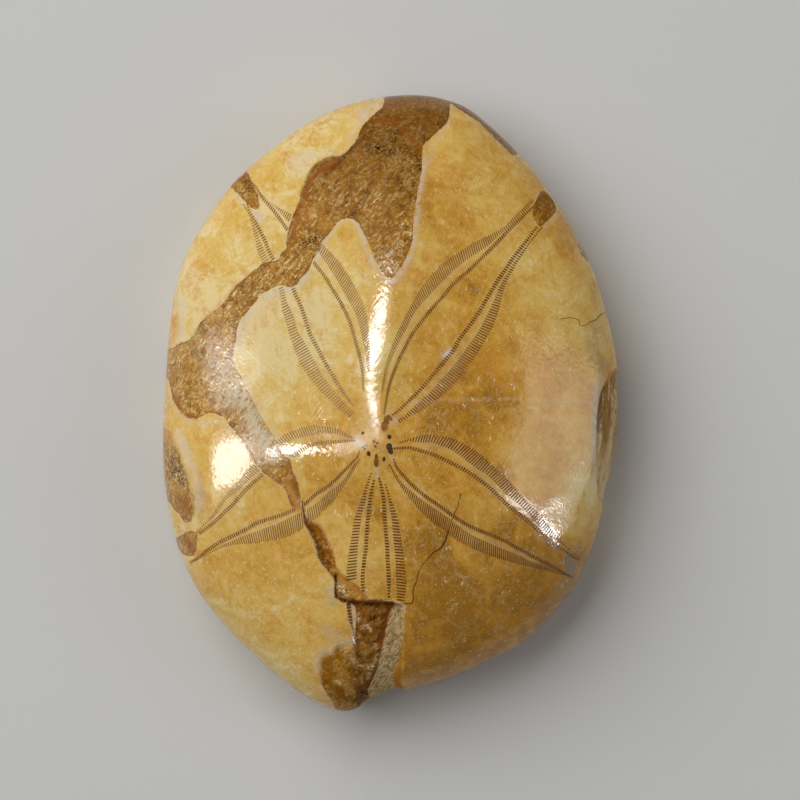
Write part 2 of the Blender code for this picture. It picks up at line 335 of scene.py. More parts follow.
# Where the polish is worn
DULL_LINES = [
    ([(366, 440), (380, 444)], 2.6, 1.0),
    ([(344, 449), (366, 444)], 1.3, 1.0),
    ([(366, 415), (368, 430)], 1.2, 0.6),
    ([(350, 634), (349, 668), (354, 702)], 0.8, 1.2),
]
STONE_LINES = {
    "pale": PALE_LINES, "rust": RUST_LINES, "ochre": OCHRE_LINES, "dark": DARK_AND_SHADE_LINES, "specks": SPECK_LINES,
    "grey": GREY_LINES, "tan": TAN_LINES, "silver_and_glare": SILVER_AND_GLARE_LINES, "crumbs": CRUMB_LINES, "soft": SOFT_LINES,
    "dull": DULL_LINES,
}  # fmt: skip
# Where the shell is a deeper amber, or paler if negative: middle, reach in millimetres and strength. The pale
# spots at the left middle and on the right near the lower highlight are painted sheen where soft reflections
# lie
AMBER_AND_SHEEN_SPOTS = [
    ((470, 405), 8.0, 0.32),
    ((430, 200), 6.0, 0.10),
    ((500, 610), 13.0, 0.17),
    ((567, 305), 8.0, -0.27),
    # painted sheen: paler where the right lamps' soft reflection and highlight lie
    ((570, 474), 7.0, -0.12),
    ((589, 488), 3.6, -0.32),
    ((583, 520), 5.5, -0.32),
    ((602, 342), 4.0, -0.28),
    ((502, 558), 5.0, -0.15),
    ((378, 560), 4.0, -0.16),
    ((430, 640), 7.0, 0.06),
    ((230, 590), 10.0, -0.06),
    # painted sheen: paler where the soft reflection at the left lies
    ((250, 330), 12.0, -0.14),
    ((330, 330), 9.0, -0.22),
    ((300, 640), 8.0, -0.15),
    ((437, 565), 10.0, 0.14),
    ((215, 180), 9.0, 0.10),
    # painted sheen of the soft reflection on the right
    ((545, 450), 9.0, -0.10),
]
# Each crack: its points and thickness in millimetres
CRACKS = [
    ([(460, 492), (457, 507), (453, 515), (450, 523), (447, 533)], 0.07),
    ([(447, 533), (444, 540), (440, 547), (435, 550), (428, 557), (420, 567), (416, 580), (413, 588),
      (413, 597), (412, 602), (404, 602)], 0.15),
    ([(560, 320), (568, 318), (577, 320), (580, 327), (590, 322)], 0.045),
    ([(590, 322), (595, 320), (600, 315), (606, 312)], 0.065),
    ([(303, 500), (304, 507), (306, 518)], 0.10),
]  # fmt: skip
# The middle seams of the five plate columns between the petals, from the crown out to the rim
PLATE_COLUMNS = [
    [(392, 430), (451, 411), (486, 409), (526, 409), (584, 398), (612, 392)],
    [(392, 462), (440, 545), (480, 600), (515, 640)],
    [(362, 470), (325, 560), (285, 640), (268, 665)],
    [(355, 425), (290, 380), (230, 345), (172, 320)],
    [(376, 420), (382, 330), (396, 220), (410, 110)],
]
SEAM_START = 3.0 * MM
SEAM_ZIGZAG = 0.35 * MM
SEAM_HALF_WIDTH = 0.22 * MM
FIRST_PLATE = 1.1  # the first plate's length in millimetres
PLATE_GROWTH = 0.028  # and how much longer a plate is for each millimetre outwards
# A cross seam: its reach over the way from the crown, the most it reaches, its half width and its strength
CROSS_REACH = 0.34
CROSS_MOST = 9 * MM
CROSS_HALF_WIDTH = 0.2 * MM
CROSS_STRENGTH = 0.7
CROSS_BEND = [(0, 0), (0.5, 0.06), (1, 0.2)]  # its points, sideways and outwards, over its reach
PETAL_BAND = (1.0, 1.0)  # half width and strength of the pale band along each zone of the star

# The star: five petals of two zones each. A zone is a band of long slits between its outer and inner edge,
# and a row of short slits nearer the petal's middle. They run from the crown to the petal's tip. Spacing is
# in squares. Lean is how far the slits turn from square across towards the tip, in degrees at even steps
# along the zone. Wear is how pale the slits have become.
PETAL_ZONES = {
    "front_left_side": dict(
        spacing=2.9, lean=(10, 10), wear=0.0,
        outer=[(372, 468), (368, 480), (364, 490), (360, 502), (355, 517), (352, 533), (349, 553), (347, 570),
               (346, 585), (346, 600)],
        inner=[(372, 473), (368, 487), (366, 500), (362, 515), (360, 530), (358, 548), (357, 573), (357, 585),
               (357, 600)],
        row=[(374, 477), (372, 488), (370, 503), (368, 520), (367, 533), (366, 548), (365, 555), (363, 573),
             (363, 588), (363, 598)]),
    "front_right_side": dict(
        spacing=2.9, lean=(10, 10), wear=-0.1,
        outer=[(386, 482), (392, 500), (397, 513), (400, 528), (402, 543), (404, 558), (406, 573), (406, 588),
               (405, 598)],
        inner=[(385, 484), (388, 497), (390, 508), (392, 518), (393, 535), (395, 552), (396, 568),
               (397, 598)],
        row=[(380, 475), (382, 487), (384, 500), (385, 520), (387, 543), (388, 563), (389, 580), (390, 598)]),
    "rear_right_upper": dict(
        spacing=2.35, lean=(34, 14), wear=0.4,
        outer=[(381, 393), (385, 367), (390, 352), (395, 338), (400, 327), (410, 307), (420, 290), (430, 277),
               (442, 265), (453, 257), (467, 247), (480, 240), (493, 234), (503, 228), (513, 218), (523, 208),
               (531, 200)],
        inner=[(383, 393), (388, 370), (393, 357), (398, 345), (405, 332), (415, 313), (430, 295), (443, 282),
               (457, 268), (472, 257), (487, 247), (500, 235), (513, 225), (525, 212), (533, 203)],
        row=[(383, 415), (387, 395), (390, 383), (398, 362), (405, 348), (412, 335), (423, 320), (433, 308),
             (443, 297), (453, 285), (470, 270), (483, 257), (497, 243), (507, 232), (517, 222), (527, 212),
             (534, 204)]),
    "rear_right_lower": dict(
        spacing=2.6, lean=(6, 7), wear=0.15,
        outer=[(402, 421), (413, 415), (427, 407), (440, 397), (452, 387), (463, 372), (475, 357), (483, 343),
               (492, 328), (498, 312), (501, 300), (504, 287), (510, 275), (517, 263), (527, 248), (535, 237),
               (545, 225)],
        inner=[(398, 419), (405, 415), (413, 407), (427, 395), (438, 383), (450, 370), (460, 357), (470, 343),
               (480, 328), (488, 312), (495, 297), (500, 285), (507, 273), (513, 263), (523, 250), (532, 238),
               (540, 228)],
        row=[(392, 417), (398, 412), (407, 403), (417, 393), (427, 382), (437, 370), (445, 360), (452, 352),
             (460, 338), (470, 325), (480, 310), (487, 298), (493, 288), (500, 277), (507, 267), (513, 258),
             (522, 247), (530, 237), (538, 227)]),
    "front_right_upper": dict(
        spacing=2.55, lean=(18, -8), wear=0.0,
        outer=[(397, 442), (410, 438), (420, 435), (430, 434), (440, 435), (452, 438), (463, 443), (475, 450),
               (487, 460), (498, 470), (508, 480), (518, 492), (527, 502), (540, 515), (560, 540),
               (580, 558)],
        inner=[(400, 443), (410, 441), (420, 442), (430, 442), (440, 445), (452, 450), (463, 458), (475, 467),
               (487, 475), (497, 485), (507, 495), (517, 503), (530, 516), (545, 532), (560, 543),
               (579, 558)],
        row=[(390, 447), (400, 447), (410, 447), (420, 450), (430, 453), (440, 457), (450, 462), (460, 467),
             (470, 473), (480, 480), (490, 488), (500, 498), (510, 507), (520, 515), (530, 523), (540, 532),
             (550, 542), (563, 549), (572, 555), (580, 559)]),
    "front_right_lower": dict(
        spacing=2.2, lean=(28, 20), wear=0.05,
        outer=[(390, 466), (395, 477), (402, 488), (410, 498), (420, 510), (430, 519), (441, 528), (452, 536),
               (465, 544), (480, 551), (497, 557), (513, 562), (530, 566), (547, 570), (563, 575)],
        inner=[(390, 463), (397, 475), (405, 485), (413, 492), (423, 500), (435, 508), (447, 516), (458, 525),
               (470, 533), (484, 540), (500, 547), (513, 552), (530, 560), (547, 567), (562, 573)],
        row=[(392, 458), (397, 468), (405, 477), (413, 485), (422, 493), (432, 500), (442, 507), (453, 515),
             (467, 524), (483, 531), (500, 538), (517, 547), (533, 556), (547, 563), (560, 571), (573, 579)]),
    "front_left_upper": dict(
        spacing=2.3, lean=(15, 0), wear=0.6,
        outer=[(355, 437), (347, 433), (338, 428), (325, 426), (313, 425), (303, 427), (295, 430), (287, 433),
               (275, 442), (262, 455), (250, 467), (240, 480), (232, 488), (225, 497), (217, 508), (210, 518),
               (198, 530), (188, 540)],
        inner=[(354, 439), (346, 437), (338, 434), (325, 433), (313, 435), (303, 437), (295, 439), (283, 446),
               (270, 460), (258, 473), (247, 483), (237, 492), (227, 500), (217, 515), (208, 522), (198, 533),
               (189, 541)],
        row=[(357, 439), (347, 440), (337, 441), (327, 442), (317, 443), (307, 447), (297, 453), (290, 458),
             (277, 465), (265, 473), (257, 480), (248, 488), (240, 497), (233, 505), (225, 512), (217, 520),
             (208, 527), (198, 534), (190, 541)]),
    "front_left_lower": dict(
        spacing=2.25, lean=(36, 30, 14, 3, 3), wear=0.45,
        outer=[(362, 457), (357, 465), (350, 477), (343, 487), (337, 497), (327, 507), (320, 515), (312, 521),
               (305, 527), (295, 533), (282, 538), (270, 540), (257, 542), (243, 543), (230, 545), (220, 548),
               (205, 556), (190, 564)],
        inner=[(360, 458), (353, 465), (347, 475), (338, 485), (330, 490), (320, 500), (310, 507), (300, 512),
               (290, 517), (280, 522), (269, 526), (258, 530), (247, 534), (233, 540), (222, 545), (206, 554),
               (191, 562)],
        row=[(361, 450), (358, 457), (350, 465), (342, 473), (333, 482), (325, 488), (317, 493), (306, 503),
             (300, 506), (292, 510), (280, 515), (270, 518), (258, 522), (250, 527), (240, 532), (230, 537),
             (220, 542), (208, 550), (200, 557), (190, 563)]),
    "rear_left_right_side": dict(
        spacing=2.4, lean=(32, 20), wear=0.75,
        outer=[(370, 372), (370, 345), (368, 325), (367, 315), (361, 298), (353, 283), (343, 267), (333, 255),
               (323, 245), (308, 230), (295, 217), (277, 207), (265, 197), (252, 180)],
        inner=[(368, 372), (365, 350), (361, 332), (357, 317), (348, 300), (338, 282), (327, 265), (318, 252),
               (302, 235), (288, 222), (270, 202), (263, 195), (251, 179)],
        row=[(365, 392), (362, 365), (354, 335), (350, 322), (342, 305), (333, 290), (325, 277), (314, 263),
             (301, 246), (289, 232), (282, 222), (273, 210), (263, 198), (257, 188), (250, 178)]),
    "rear_left_left_side": dict(
        spacing=2.6, lean=(0, -6), wear=0.75,
        outer=[(350, 418), (335, 405), (322, 392), (310, 378), (300, 362), (294, 347), (290, 335), (287, 323),
               (283, 312), (282, 300), (278, 286), (270, 273), (262, 262), (258, 250), (254, 232), (250, 218),
               (243, 205)],
        inner=[(354, 412), (343, 400), (330, 385), (320, 370), (312, 355), (305, 342), (299, 332), (293, 313),
               (288, 303), (284, 288), (275, 271), (267, 255), (262, 243), (257, 230), (251, 216),
               (245, 205)],
        row=[(354, 408), (345, 395), (337, 382), (328, 367), (320, 352), (311, 335), (307, 323), (302, 308),
             (297, 297), (293, 288), (283, 272), (272, 257), (265, 240), (258, 227), (250, 213), (246, 204)]),
}  # fmt: skip
# The stretch of the front petal's row that goes on below the front break
LOWER_ROW = [(349, 603), (350, 613), (351, 622), (352, 633), (353, 643)]
LOWER_ROW_SPACING, LOWER_ROW_WIDTH, LOWER_ROW_LENGTH = 2.9, 1.5, 4.4
# How wide the slits of a zone and of a row are over their spacing, and the row's own length, taper and wear
ZONE_WIDTH = 0.48
ROW_WIDTH = 0.58
ROW_LENGTH = 4.0
ROW_TAPER = 0.35
ROW_WEAR = 0.3

TAPER_STEEPNESS = 8.0  # how soon a tapering row has its full length, from each end
SLITS_OFF_ROCK = -0.1  # how deep in the rock a slit's middle may be, in millimetres: negative is outside
SHORTEST_SLIT = 0.1 * MM
LEAN_EVENING = 12  # how many times the directions along a zone's line are evened out
# A slit is as long as its own way to the outer edge, unless that is more than this many times the shortest
# way and this many squares: then it is as long as the shortest way
STRAY_RATIO, STRAY_MORE = 2.5, 2

# The pores and plates at the crown: chart place, half sizes, turn in degrees and how rusty
CROWN_PORES = [
    ((384.6, 426.0), (3.4, 5.2), -8, 0.9), ((386.6, 420.2), (2.5, 4.4), 18, 0.9),
    ((389.8, 417.4), (1.7, 3.6), 42, 0.75), ((389.4, 436.5), (2.2, 2.4), 0, 0.0),
    ((369.0, 453.1), (1.9, 2.5), 12, 0.2), ((384.2, 458.5), (1.6, 2.5), -8, 0.25),
    ((376.5, 457.0), (1.5, 4.0), 0, 0.7), ((376.6, 461.8), (2.5, 4.8), 0, 0.8),
    ((389.2, 446.2), (3.0, 3.6), 0, 0.1), ((390.6, 450.6), (2.6, 3.2), 20, 0.2),
    ((363.3, 432.6), (1.5, 1.5), 0, 0.1), ((374.2, 441.0), (1.5, 1.9), 15, 1.1),
    ((377.6, 442.6), (1.1, 1.6), -15, 1.1), ((375.6, 445.8), (1.3, 1.2), 0, 1.2),
    ((366.8, 444.6), (1.6, 1.3), 30, 0.6), ((363.4, 446.4), (1.3, 1.0), 20, 0.6),
    ((361.2, 443.6), (1.1, 0.9), 0, 0.6), ((365.0, 448.2), (1.2, 0.8), 30, 0.55),
]  # fmt: skip

SLIT_LIFT = 0.025 * MM  # how far the slits stand proud of the polish
SLIT_DEPTH = 0.12 * MM
PLATE_RAGGEDNESS = 0.12 * MM
PLATE_CORNERS = 24
CRACK_STEP = 0.3 * MM
CRACK_LIFT = 0.05 * MM
CRACK_WANDER = 0.5 * MM
CRACK_SIDES = 8
# How fine the noises are that fray the plates, bend the cracks and swell them, in grains to the metre
PLATE_FINENESS = 4000.0
WANDER_FINENESS = 900.0
SWELL_FINENESS = 350.0
SEED_STEP = 17.0
RAY_HEIGHT = 0.1  # the rays that find the stone's surface start above it, and reach right through
RAY_LENGTH = 1.0

# Short scratches in the polish, painted pale partly as glints of light on them: breadth, turn, length over
# breadth, reach in its cell and share of cells
SCRATCHES = [(0.62, -16, 4.2, 0.17, 0.36), (0.55, 36, 4.0, 0.17, 0.28), (0.36, -40, 2.6, 0.24, 0.30)]
CIRCLING_AT = 25  # how far from the crown, in millimetres, the streaks round it have their stated length

UV_MARGIN = 0.005
FLOOR_SIZE = 6
LAMP_DISTANCE = 1.0
CAMERA_DISTANCE = 1.5
SENSOR_WIDTH = 36
CHART_SIDE = 800  # the camera sees this many squares each way


# ---------------------------------------------------------------- plan geometry
def smooth_line(points, steps=6, closed=False):
    """Points along a Catmull-Rom curve through the given ones."""
    p = np.array(points, float)
    if closed:
        before, here, after, beyond = np.roll(p, 1, 0), p, np.roll(p, -1, 0), np.roll(p, -2, 0)
    else:
        ends = np.vstack([2 * p[0] - p[1], p, 2 * p[-1] - p[-2]])
        before, here, after, beyond = ends[:-3], ends[1:-2], ends[2:-1], ends[3:]
    curve = []
    for t in np.arange(steps) / steps:
        curve.append(
            0.5 * (2 * here + (after - before) * t + (2 * before - 5 * here + 4 * after - beyond) * t**2
                   + (3 * here - before - 3 * after + beyond) * t**3)
        )  # fmt: skip
    line = np.stack(curve, 1).reshape(-1, 2)
    return line if closed else np.vstack([line, p[-1:]])


RIM = smooth_line(OUTLINE, 12, closed=True)
MIDDLE = (RIM.min(0) + RIM.max(0)) / 2


def place(chart_point):
    """The plan place in metres of a point or points of the chart."""
    return (np.asarray(chart_point, float) - MIDDLE) * SQUARE * (1, -1)


CROWN_AT = place(CROWN)
RIM_OUT = place(RIM) - CROWN_AT
RIM_ANGLES = np.arctan2(RIM_OUT[:, 1], RIM_OUT[:, 0])
RIM_ORDER = np.argsort(RIM_ANGLES)


def rim_radius(angle):
    """Distance from the crown to the rim, seen from above, in that direction."""
    return np.interp(angle, RIM_ANGLES[RIM_ORDER], np.hypot(*RIM_OUT.T)[RIM_ORDER], period=tau)


def smoothstep(low, high, value):
    t = np.clip((value - low) / (high - low), 0, 1)
    return t * t * (3 - 2 * t)


def run_along(line):
    """How far along a line each of its points is."""
    return np.concatenate([[0], np.cumsum(np.hypot(*np.diff(line, axis=0).T))])


def distance_to_line(at, line):
    """Distance from plan places to a line of joined points."""
    nearest = np.full(len(at), np.inf)
    for a, b in zip(line[:-1], line[1:]):
        along = np.clip(((at - a) @ (b - a)) / ((b - a) @ (b - a)), 0, 1)
        nearest = np.minimum(nearest, np.linalg.norm(at - a - along[:, None] * (b - a), axis=1))
    return nearest


def depth_inside(at, corners):
    """How far plan places lie inside a closed shape, negative outside."""
    loop = np.vstack([corners, corners[:1]])
    crossings = np.zeros(len(at), int)
    for a, b in zip(loop[:-1], loop[1:]):
        spans = (a[1] > at[:, 1]) != (b[1] > at[:, 1])
        if a[1] != b[1]:
            meets = a[0] + (at[:, 1] - a[1]) / (b[1] - a[1]) * (b[0] - a[0])
            crossings += spans & (at[:, 0] < meets)
    return np.where(crossings % 2 == 1, 1, -1) * distance_to_line(at, loop)


# ---------------------------------------------------------------- the stone's surface
def crest_rise(at):
    """How much the three crests together raise the dome at plan places."""
    squares = 0
    outward = np.linalg.norm(at - CROWN_AT, axis=1) / (LENGTH / 2)
    for points, narrow, wide, rise in CRESTS:
        half_width = narrow + (wide - narrow) * outward
        off_line = distance_to_line(at, place(smooth_line(points))) / half_width
        squares = squares + (rise * np.exp(-(off_line**2))) ** 2
    return np.sqrt(squares)


def dome_height(at, share):
    """Height of the upper surface, where share is the distance from the crown over the rim's."""
    top = HEIGHT - crest_rise(CROWN_AT[None])
    full = np.clip(1 - share**DOME_FULLNESS, 0, 1) ** DOME_SHOULDER
    return RIM_HEIGHT + (top - RIM_HEIGHT) * full + crest_rise(at) * (1 - smoothstep(CREST_FADE, 1.0, share))


def broken_away(at):
    """Depth of stone lost at plan places, with the rough floor of each break."""
    lost = np.zeros(len(at))
    gentle = GENTLE_WIDTH * lines_mask(at, GENTLE_WALLS)
    for corners, depth, wall in BREAKS:
        lost = np.maximum(lost, depth * smoothstep(0, 1, depth_inside(at, place(corners)) / (wall + gentle)))
    for i in np.flatnonzero(lost > ROUGH_FROM):
        spot = Vector((at[i][0], at[i][1], 0)) / BREAK_GRAIN
        lost[i] += BREAK_ROUGHNESS * noise.fractal(spot, 1.0, 2.0, 4)
    return lost


def around(angle, share):
    """Plan places in those directions from the crown, at that share of the way to the rim."""
    reach = share * rim_radius(angle)
    return CROWN_AT + np.stack([reach * np.cos(angle), reach * np.sin(angle)], 1)


def dome_ring(angle, turn):
    """A ring of the dome, where turn runs from 0 at the crown to a quarter at the rim."""
    share = np.full(len(angle), np.sin(turn))
    at = around(angle, share)
    lost = broken_away(at)
    inward = at + (CROWN_AT - at) * (lost * share**4 / rim_radius(angle))[:, None]
    return np.column_stack([inward, dome_height(at, share) - lost * (1 - share**4)])


def flank_ring(angle, turn):
    """A ring of the flank, where turn runs from 0 at the rim to a quarter at the flat land."""
    share = LAND_OUTER + (1 - LAND_OUTER) * np.cos(turn)
    at = around(angle, share)
    lost = broken_away(at) * np.cos(turn)
    inward = at + (CROWN_AT - at) * (lost / rim_radius(angle))[:, None]
    return np.column_stack([inward, np.full(len(angle), RIM_HEIGHT * (1 - np.sin(turn)))])


def underside_ring(angle, share):
    """The underside: flat land, a dish with five furrows and five lips round the mouth, and the vent."""
    at = around(angle, share)
    reach = share * rim_radius(angle)
    height = DISH_DEPTH * (1 - smoothstep(DISH_FLOOR, LAND_INNER, share))
    for petal in PETAL_ANGLES:
        off_line = reach * np.sin(angle - petal)
        ahead = np.cos(angle - petal) > 0
        in_dish = 1 - smoothstep(FURROW_FADE, LAND_INNER, share)
        height += FURROW_DEPTH * ahead * in_dish * np.exp(-((off_line / FURROW_HALF_WIDTH) ** 2))
    lips = np.cos(len(PETAL_ANGLES) * (angle - PETAL_ANGLES[0]) + pi).clip(0, 1)
    height -= LIP_HEIGHT * lips * np.exp(-(((reach - LIPS_AT * MOUTH_RADIUS) / LIP_HALF_WIDTH) ** 2))
    off_vent = np.hypot(*((at - place(VENT)) / VENT_HALF_SIZE).T)
    height += VENT_DEPTH * (1 - smoothstep(*VENT_SLOPE, off_vent))
    return np.column_stack([at, height])


def mouth_ring(angle, step):
    """A ring of the mouth's lobed pit, where step runs from 0 at its edge to 1 at its roof."""
    lobes = 1 + MOUTH_LOBES * np.cos(len(PETAL_ANGLES) * (angle - PETAL_ANGLES[0]))
    reach = MOUTH_RADIUS * lobes * (1 - MOUTH_TAPER * step**2)
    out = np.stack([np.cos(angle), np.sin(angle)], 1) * reach[:, None]
    return np.column_stack([CROWN_AT + out, np.full(len(angle), DISH_DEPTH + MOUTH_DEPTH * np.sqrt(step))])


def spokes(share):
    """How many points a ring of the dome has: fewer towards the middle, so that the faces stay even."""
    return RIM_POINTS >> sum(share <= limit for limit in (0.5, 0.25, 0.125, 0.0625))


def ring_angles(count):
    return np.arange(count) / count * tau


def stone_rings():
    """The stone's rings from the crown out, round the flank and in to the roof of the mouth, and how many of
    them belong to the dome and the flank."""
    rings = []
    for k in range(1, DOME_RINGS + 1):
        turn = pi / 2 * k / DOME_RINGS
        rings.append(dome_ring(ring_angles(spokes(np.sin(turn))), turn))
    most = ring_angles(RIM_POINTS)
    rings += [flank_ring(most, pi / 2 * k / FLANK_RINGS) for k in range(1, FLANK_RINGS + 1)]
    upper = len(rings)
    fewer = ring_angles(RIM_POINTS // 2)
    for share in np.linspace(LAND_OUTER, LAND_INNER, LAND_RINGS + 1)[1:]:
        rings.append(underside_ring(fewer, np.full(len(fewer), share)))
    mouth_share = DISH_END * MOUTH_RADIUS / rim_radius(fewer)
    for k in range(1, DISH_RINGS + 1):
        rings.append(underside_ring(fewer, LAND_INNER + (mouth_share - LAND_INNER) * k / DISH_RINGS))
    rings += [mouth_ring(ring_angles(RIM_POINTS // 4), k / MOUTH_RINGS) for k in range(1, MOUTH_RINGS + 1)]
    return rings, upper


def bridge(first, second):
    """Faces between two rings of vertex numbers whose counts are equal or differ by a factor of two."""
    if len(first) == len(second):
        return np.column_stack([first, second, np.roll(second, -1), np.roll(first, -1)]).tolist()
    if len(second) > len(first):
        a, b = first, np.roll(first, -1)
        p, q, r = second[::2], second[1::2], np.roll(second[::2], -1)
        return np.vstack([np.column_stack(t) for t in ((a, p, q), (a, q, b), (b, q, r))]).tolist()
    return [face[::-1] for face in bridge(second, first)]


def ground_off(at):
    """What the flatter facets take off at plan places."""
    off = np.zeros(len(at))
    for middle, radius, depth in FLATS:
        share = np.hypot(*(at - place(middle)).T) / radius
        off += depth * np.clip(1 - share**2, 0, 1) ** 2
    return off


def wave(points):
    """The slight unevenness of a surface ground by hand."""
    return np.array([sum(part * noise.noise(Vector(p) / length) for length, part in WAVES) for p in points])


def lines_mask(at, lines):
    """The strongest of several soft lines at plan places, 0 to 1."""
    strength = np.zeros(len(at))
    for points, half_width, most in lines:
        off_line = distance_to_line(at, place(smooth_line(points, 3))) / (half_width * MM)
        strength = np.maximum(strength, most * np.exp(-(off_line**2)))
    return strength


def patch_depth(at, patches):
    """How far in millimetres plan places lie inside the nearest of several patches, negative outside."""
    depth = np.full(len(at), -1.0)
    for corners in patches:
        loop = place(smooth_line(corners, 3, closed=True))
        low, high = loop.min(0) - 2 * MM, loop.max(0) + 2 * MM
        near = np.flatnonzero(((at > low) & (at < high)).all(1))
        depth[near] = np.maximum(depth[near], depth_inside(at[near], loop))
    return np.clip(depth / MM, -DEPTH_LIMIT, DEPTH_LIMIT)


def plate_seams(at):
    """Soft mask of the seams between the shell's plates: a zigzag down each column and cross seams off it."""
    mask = np.zeros(len(at))
    for column in PLATE_COLUMNS:
        line = place(smooth_line(column, 8))
        run = run_along(line)
        zigzag = []
        s = SEAM_START
        while s < run[-1]:
            here, beyond = (np.array([np.interp(stop, run, part) for part in line.T]) for stop in (s, s + MM))
            ahead = (beyond - here) / max(np.hypot(*(beyond - here)), 1e-9)
            side = np.array([-ahead[1], ahead[0]]) * (1 if len(zigzag) % 2 else -1)
            corner = here + side * SEAM_ZIGZAG
            zigzag.append(corner)
            reach = min(CROSS_REACH * s, CROSS_MOST)
            cross = corner + reach * (np.array(CROSS_BEND) @ np.array([side, ahead]))
            near = np.flatnonzero(np.hypot(*(at - corner).T) < reach + MM)
            soft = np.exp(-((distance_to_line(at[near], cross) / CROSS_HALF_WIDTH) ** 2))
            mask[near] = np.maximum(mask[near], CROSS_STRENGTH * soft)
            s += (FIRST_PLATE + PLATE_GROWTH * s / MM) * MM
        mask = np.maximum(mask, np.exp(-((distance_to_line(at, np.array(zigzag)) / SEAM_HALF_WIDTH) ** 2)))
    return mask


def add_object(name, data):
    item = bpy.data.objects.new(name, data)
    bpy.context.scene.collection.objects.link(item)
    return item


def add_attribute(mesh, name, values):
    layer = mesh.attributes.new(name, "FLOAT", "POINT")
    layer.data.foreach_set("value", np.asarray(values, np.float32))


def lay_out_uv(mesh, rings, upper, underside_from):
    """A map that unrolls the dome and flank from the crown, with the underside small in one corner."""
    flat = []
    run = np.linalg.norm(rings[0] - (*CROWN_AT, HEIGHT), axis=1)
    angles = ring_angles(len(rings[0]))
    previous = rings[0]
    for n, ring in enumerate(rings[:upper]):
        here = ring_angles(len(ring))
        if n:
            was = np.column_stack([np.interp(here, angles, previous[:, i], period=tau) for i in range(3)])
            run = np.interp(here, angles, run, period=tau) + np.linalg.norm(ring - was, axis=1)
        angles, previous = here, ring
        flat.append(np.column_stack([run * np.cos(here), run * np.sin(here)]))
    flat = np.vstack([[(0, 0)], *flat])
    low, size = flat.min(0), np.ptp(flat, 0)
    scale = (1 - 2 * UV_MARGIN) / size.max()
    everywhere = np.zeros((len(mesh.vertices), 2))
    everywhere[: len(flat)] = (flat - low) * scale + UV_MARGIN
    points = np.empty(len(mesh.vertices) * 3)
    mesh.vertices.foreach_get("co", points)
    plan = points.reshape(-1, 3)[:, :2]
    used = size[0] * scale + 3 * UV_MARGIN
    below = (plan - plan.min(0)) * (1 - used - UV_MARGIN) / np.ptp(plan[:, 0]) + (used, UV_MARGIN)
    loops = np.empty(len(mesh.loops), np.int64)
    mesh.loops.foreach_get("vertex_index", loops)
    starts = np.empty(len(mesh.polygons), np.int64)
    mesh.polygons.foreach_get("loop_start", starts)
    is_below = np.arange(len(loops)) >= starts[underside_from]
    uv = np.where(is_below[:, None], below[loops], everywhere[loops])
    mesh.uv_layers.new(name="OFBake").data.foreach_set("uv", uv.astype(np.float32).ravel())


def stone_faces(rings, upper):
    """Faces between the rings and to the point at each end, and the number of the first one underneath."""
    first = np.cumsum([1] + [len(ring) for ring in rings])
    numbers = [np.arange(start, end) for start, end in zip(first[:-1], first[1:])]
    faces = [(0, a, b) for a, b in zip(numbers[0], np.roll(numbers[0], -1))]
    for n, (ring, following) in enumerate(zip(numbers[:-1], numbers[1:])):
        if n == upper - 1:
            underside_from = len(faces)
        faces += bridge(ring, following)
    faces += [(first[-1], b, a) for a, b in zip(numbers[-1], np.roll(numbers[-1], -1))]
    return faces, underside_from


def amber_and_sheen_at(at):
    """How much deeper the shell's amber is at plan places, or paler if negative; some of the pale spots are
    painted sheen where soft reflections lie.
    """
    amber_and_sheen = np.zeros(len(at))
    for middle, reach, most in AMBER_AND_SHEEN_SPOTS:
        amber_and_sheen += most * np.exp(-np.sum((at - place(middle)) ** 2, axis=1) / (reach * MM) ** 2)
    return amber_and_sheen


def stone_masks(at, height, share, on_dome, top):
    """The values that the stone's finish reads at its points."""
    inward = np.where(top, 0, (LAND_OUTER - share) * UNDERSIDE_FADE)
    mouth = (MOUTH_ROCK * MOUTH_RADIUS - np.hypot(*(at - CROWN_AT).T)) / MM
    vent = VENT_BREADTH * (VENT_ROCK - np.hypot(*((at - place(VENT)) / VENT_HALF_SIZE).T))
    rock = patch_depth(at, ROCK_PATCHES)
    rim_raw = patch_depth(at, [RIM_HOLLOW])
    raw = np.maximum(patch_depth(at, [FRONT_BREAK]), rim_raw) - GENTLE_POLISH * lines_mask(at, GENTLE_WALLS)
    masks = {
        "rock": np.where(top, rock, np.maximum.reduce([rock - inward, mouth, vent])),
        "chalk": np.where(top, patch_depth(at, CHALK_PATCHES), -DEPTH_LIMIT),
        "raw": np.where(top, raw, np.maximum(mouth + MOUTH_RAW, vent)),
        "rim_raw": np.where(top, rim_raw, -DEPTH_LIMIT),
        "amber_and_sheen": amber_and_sheen_at(at),
    }
    faded = np.where(on_dome, 1, np.where(top, smoothstep(*LINES_FADE, height / RIM_HEIGHT), 0))
    bands = [(zone["inner"][2:-2], *PETAL_BAND) for zone in PETAL_ZONES.values()]
    for name, lines in {**STONE_LINES, "petal": bands}.items():
        masks[name] = faded * lines_mask(at, lines)
    masks["seam"] = faded * plate_seams(at)
    return masks


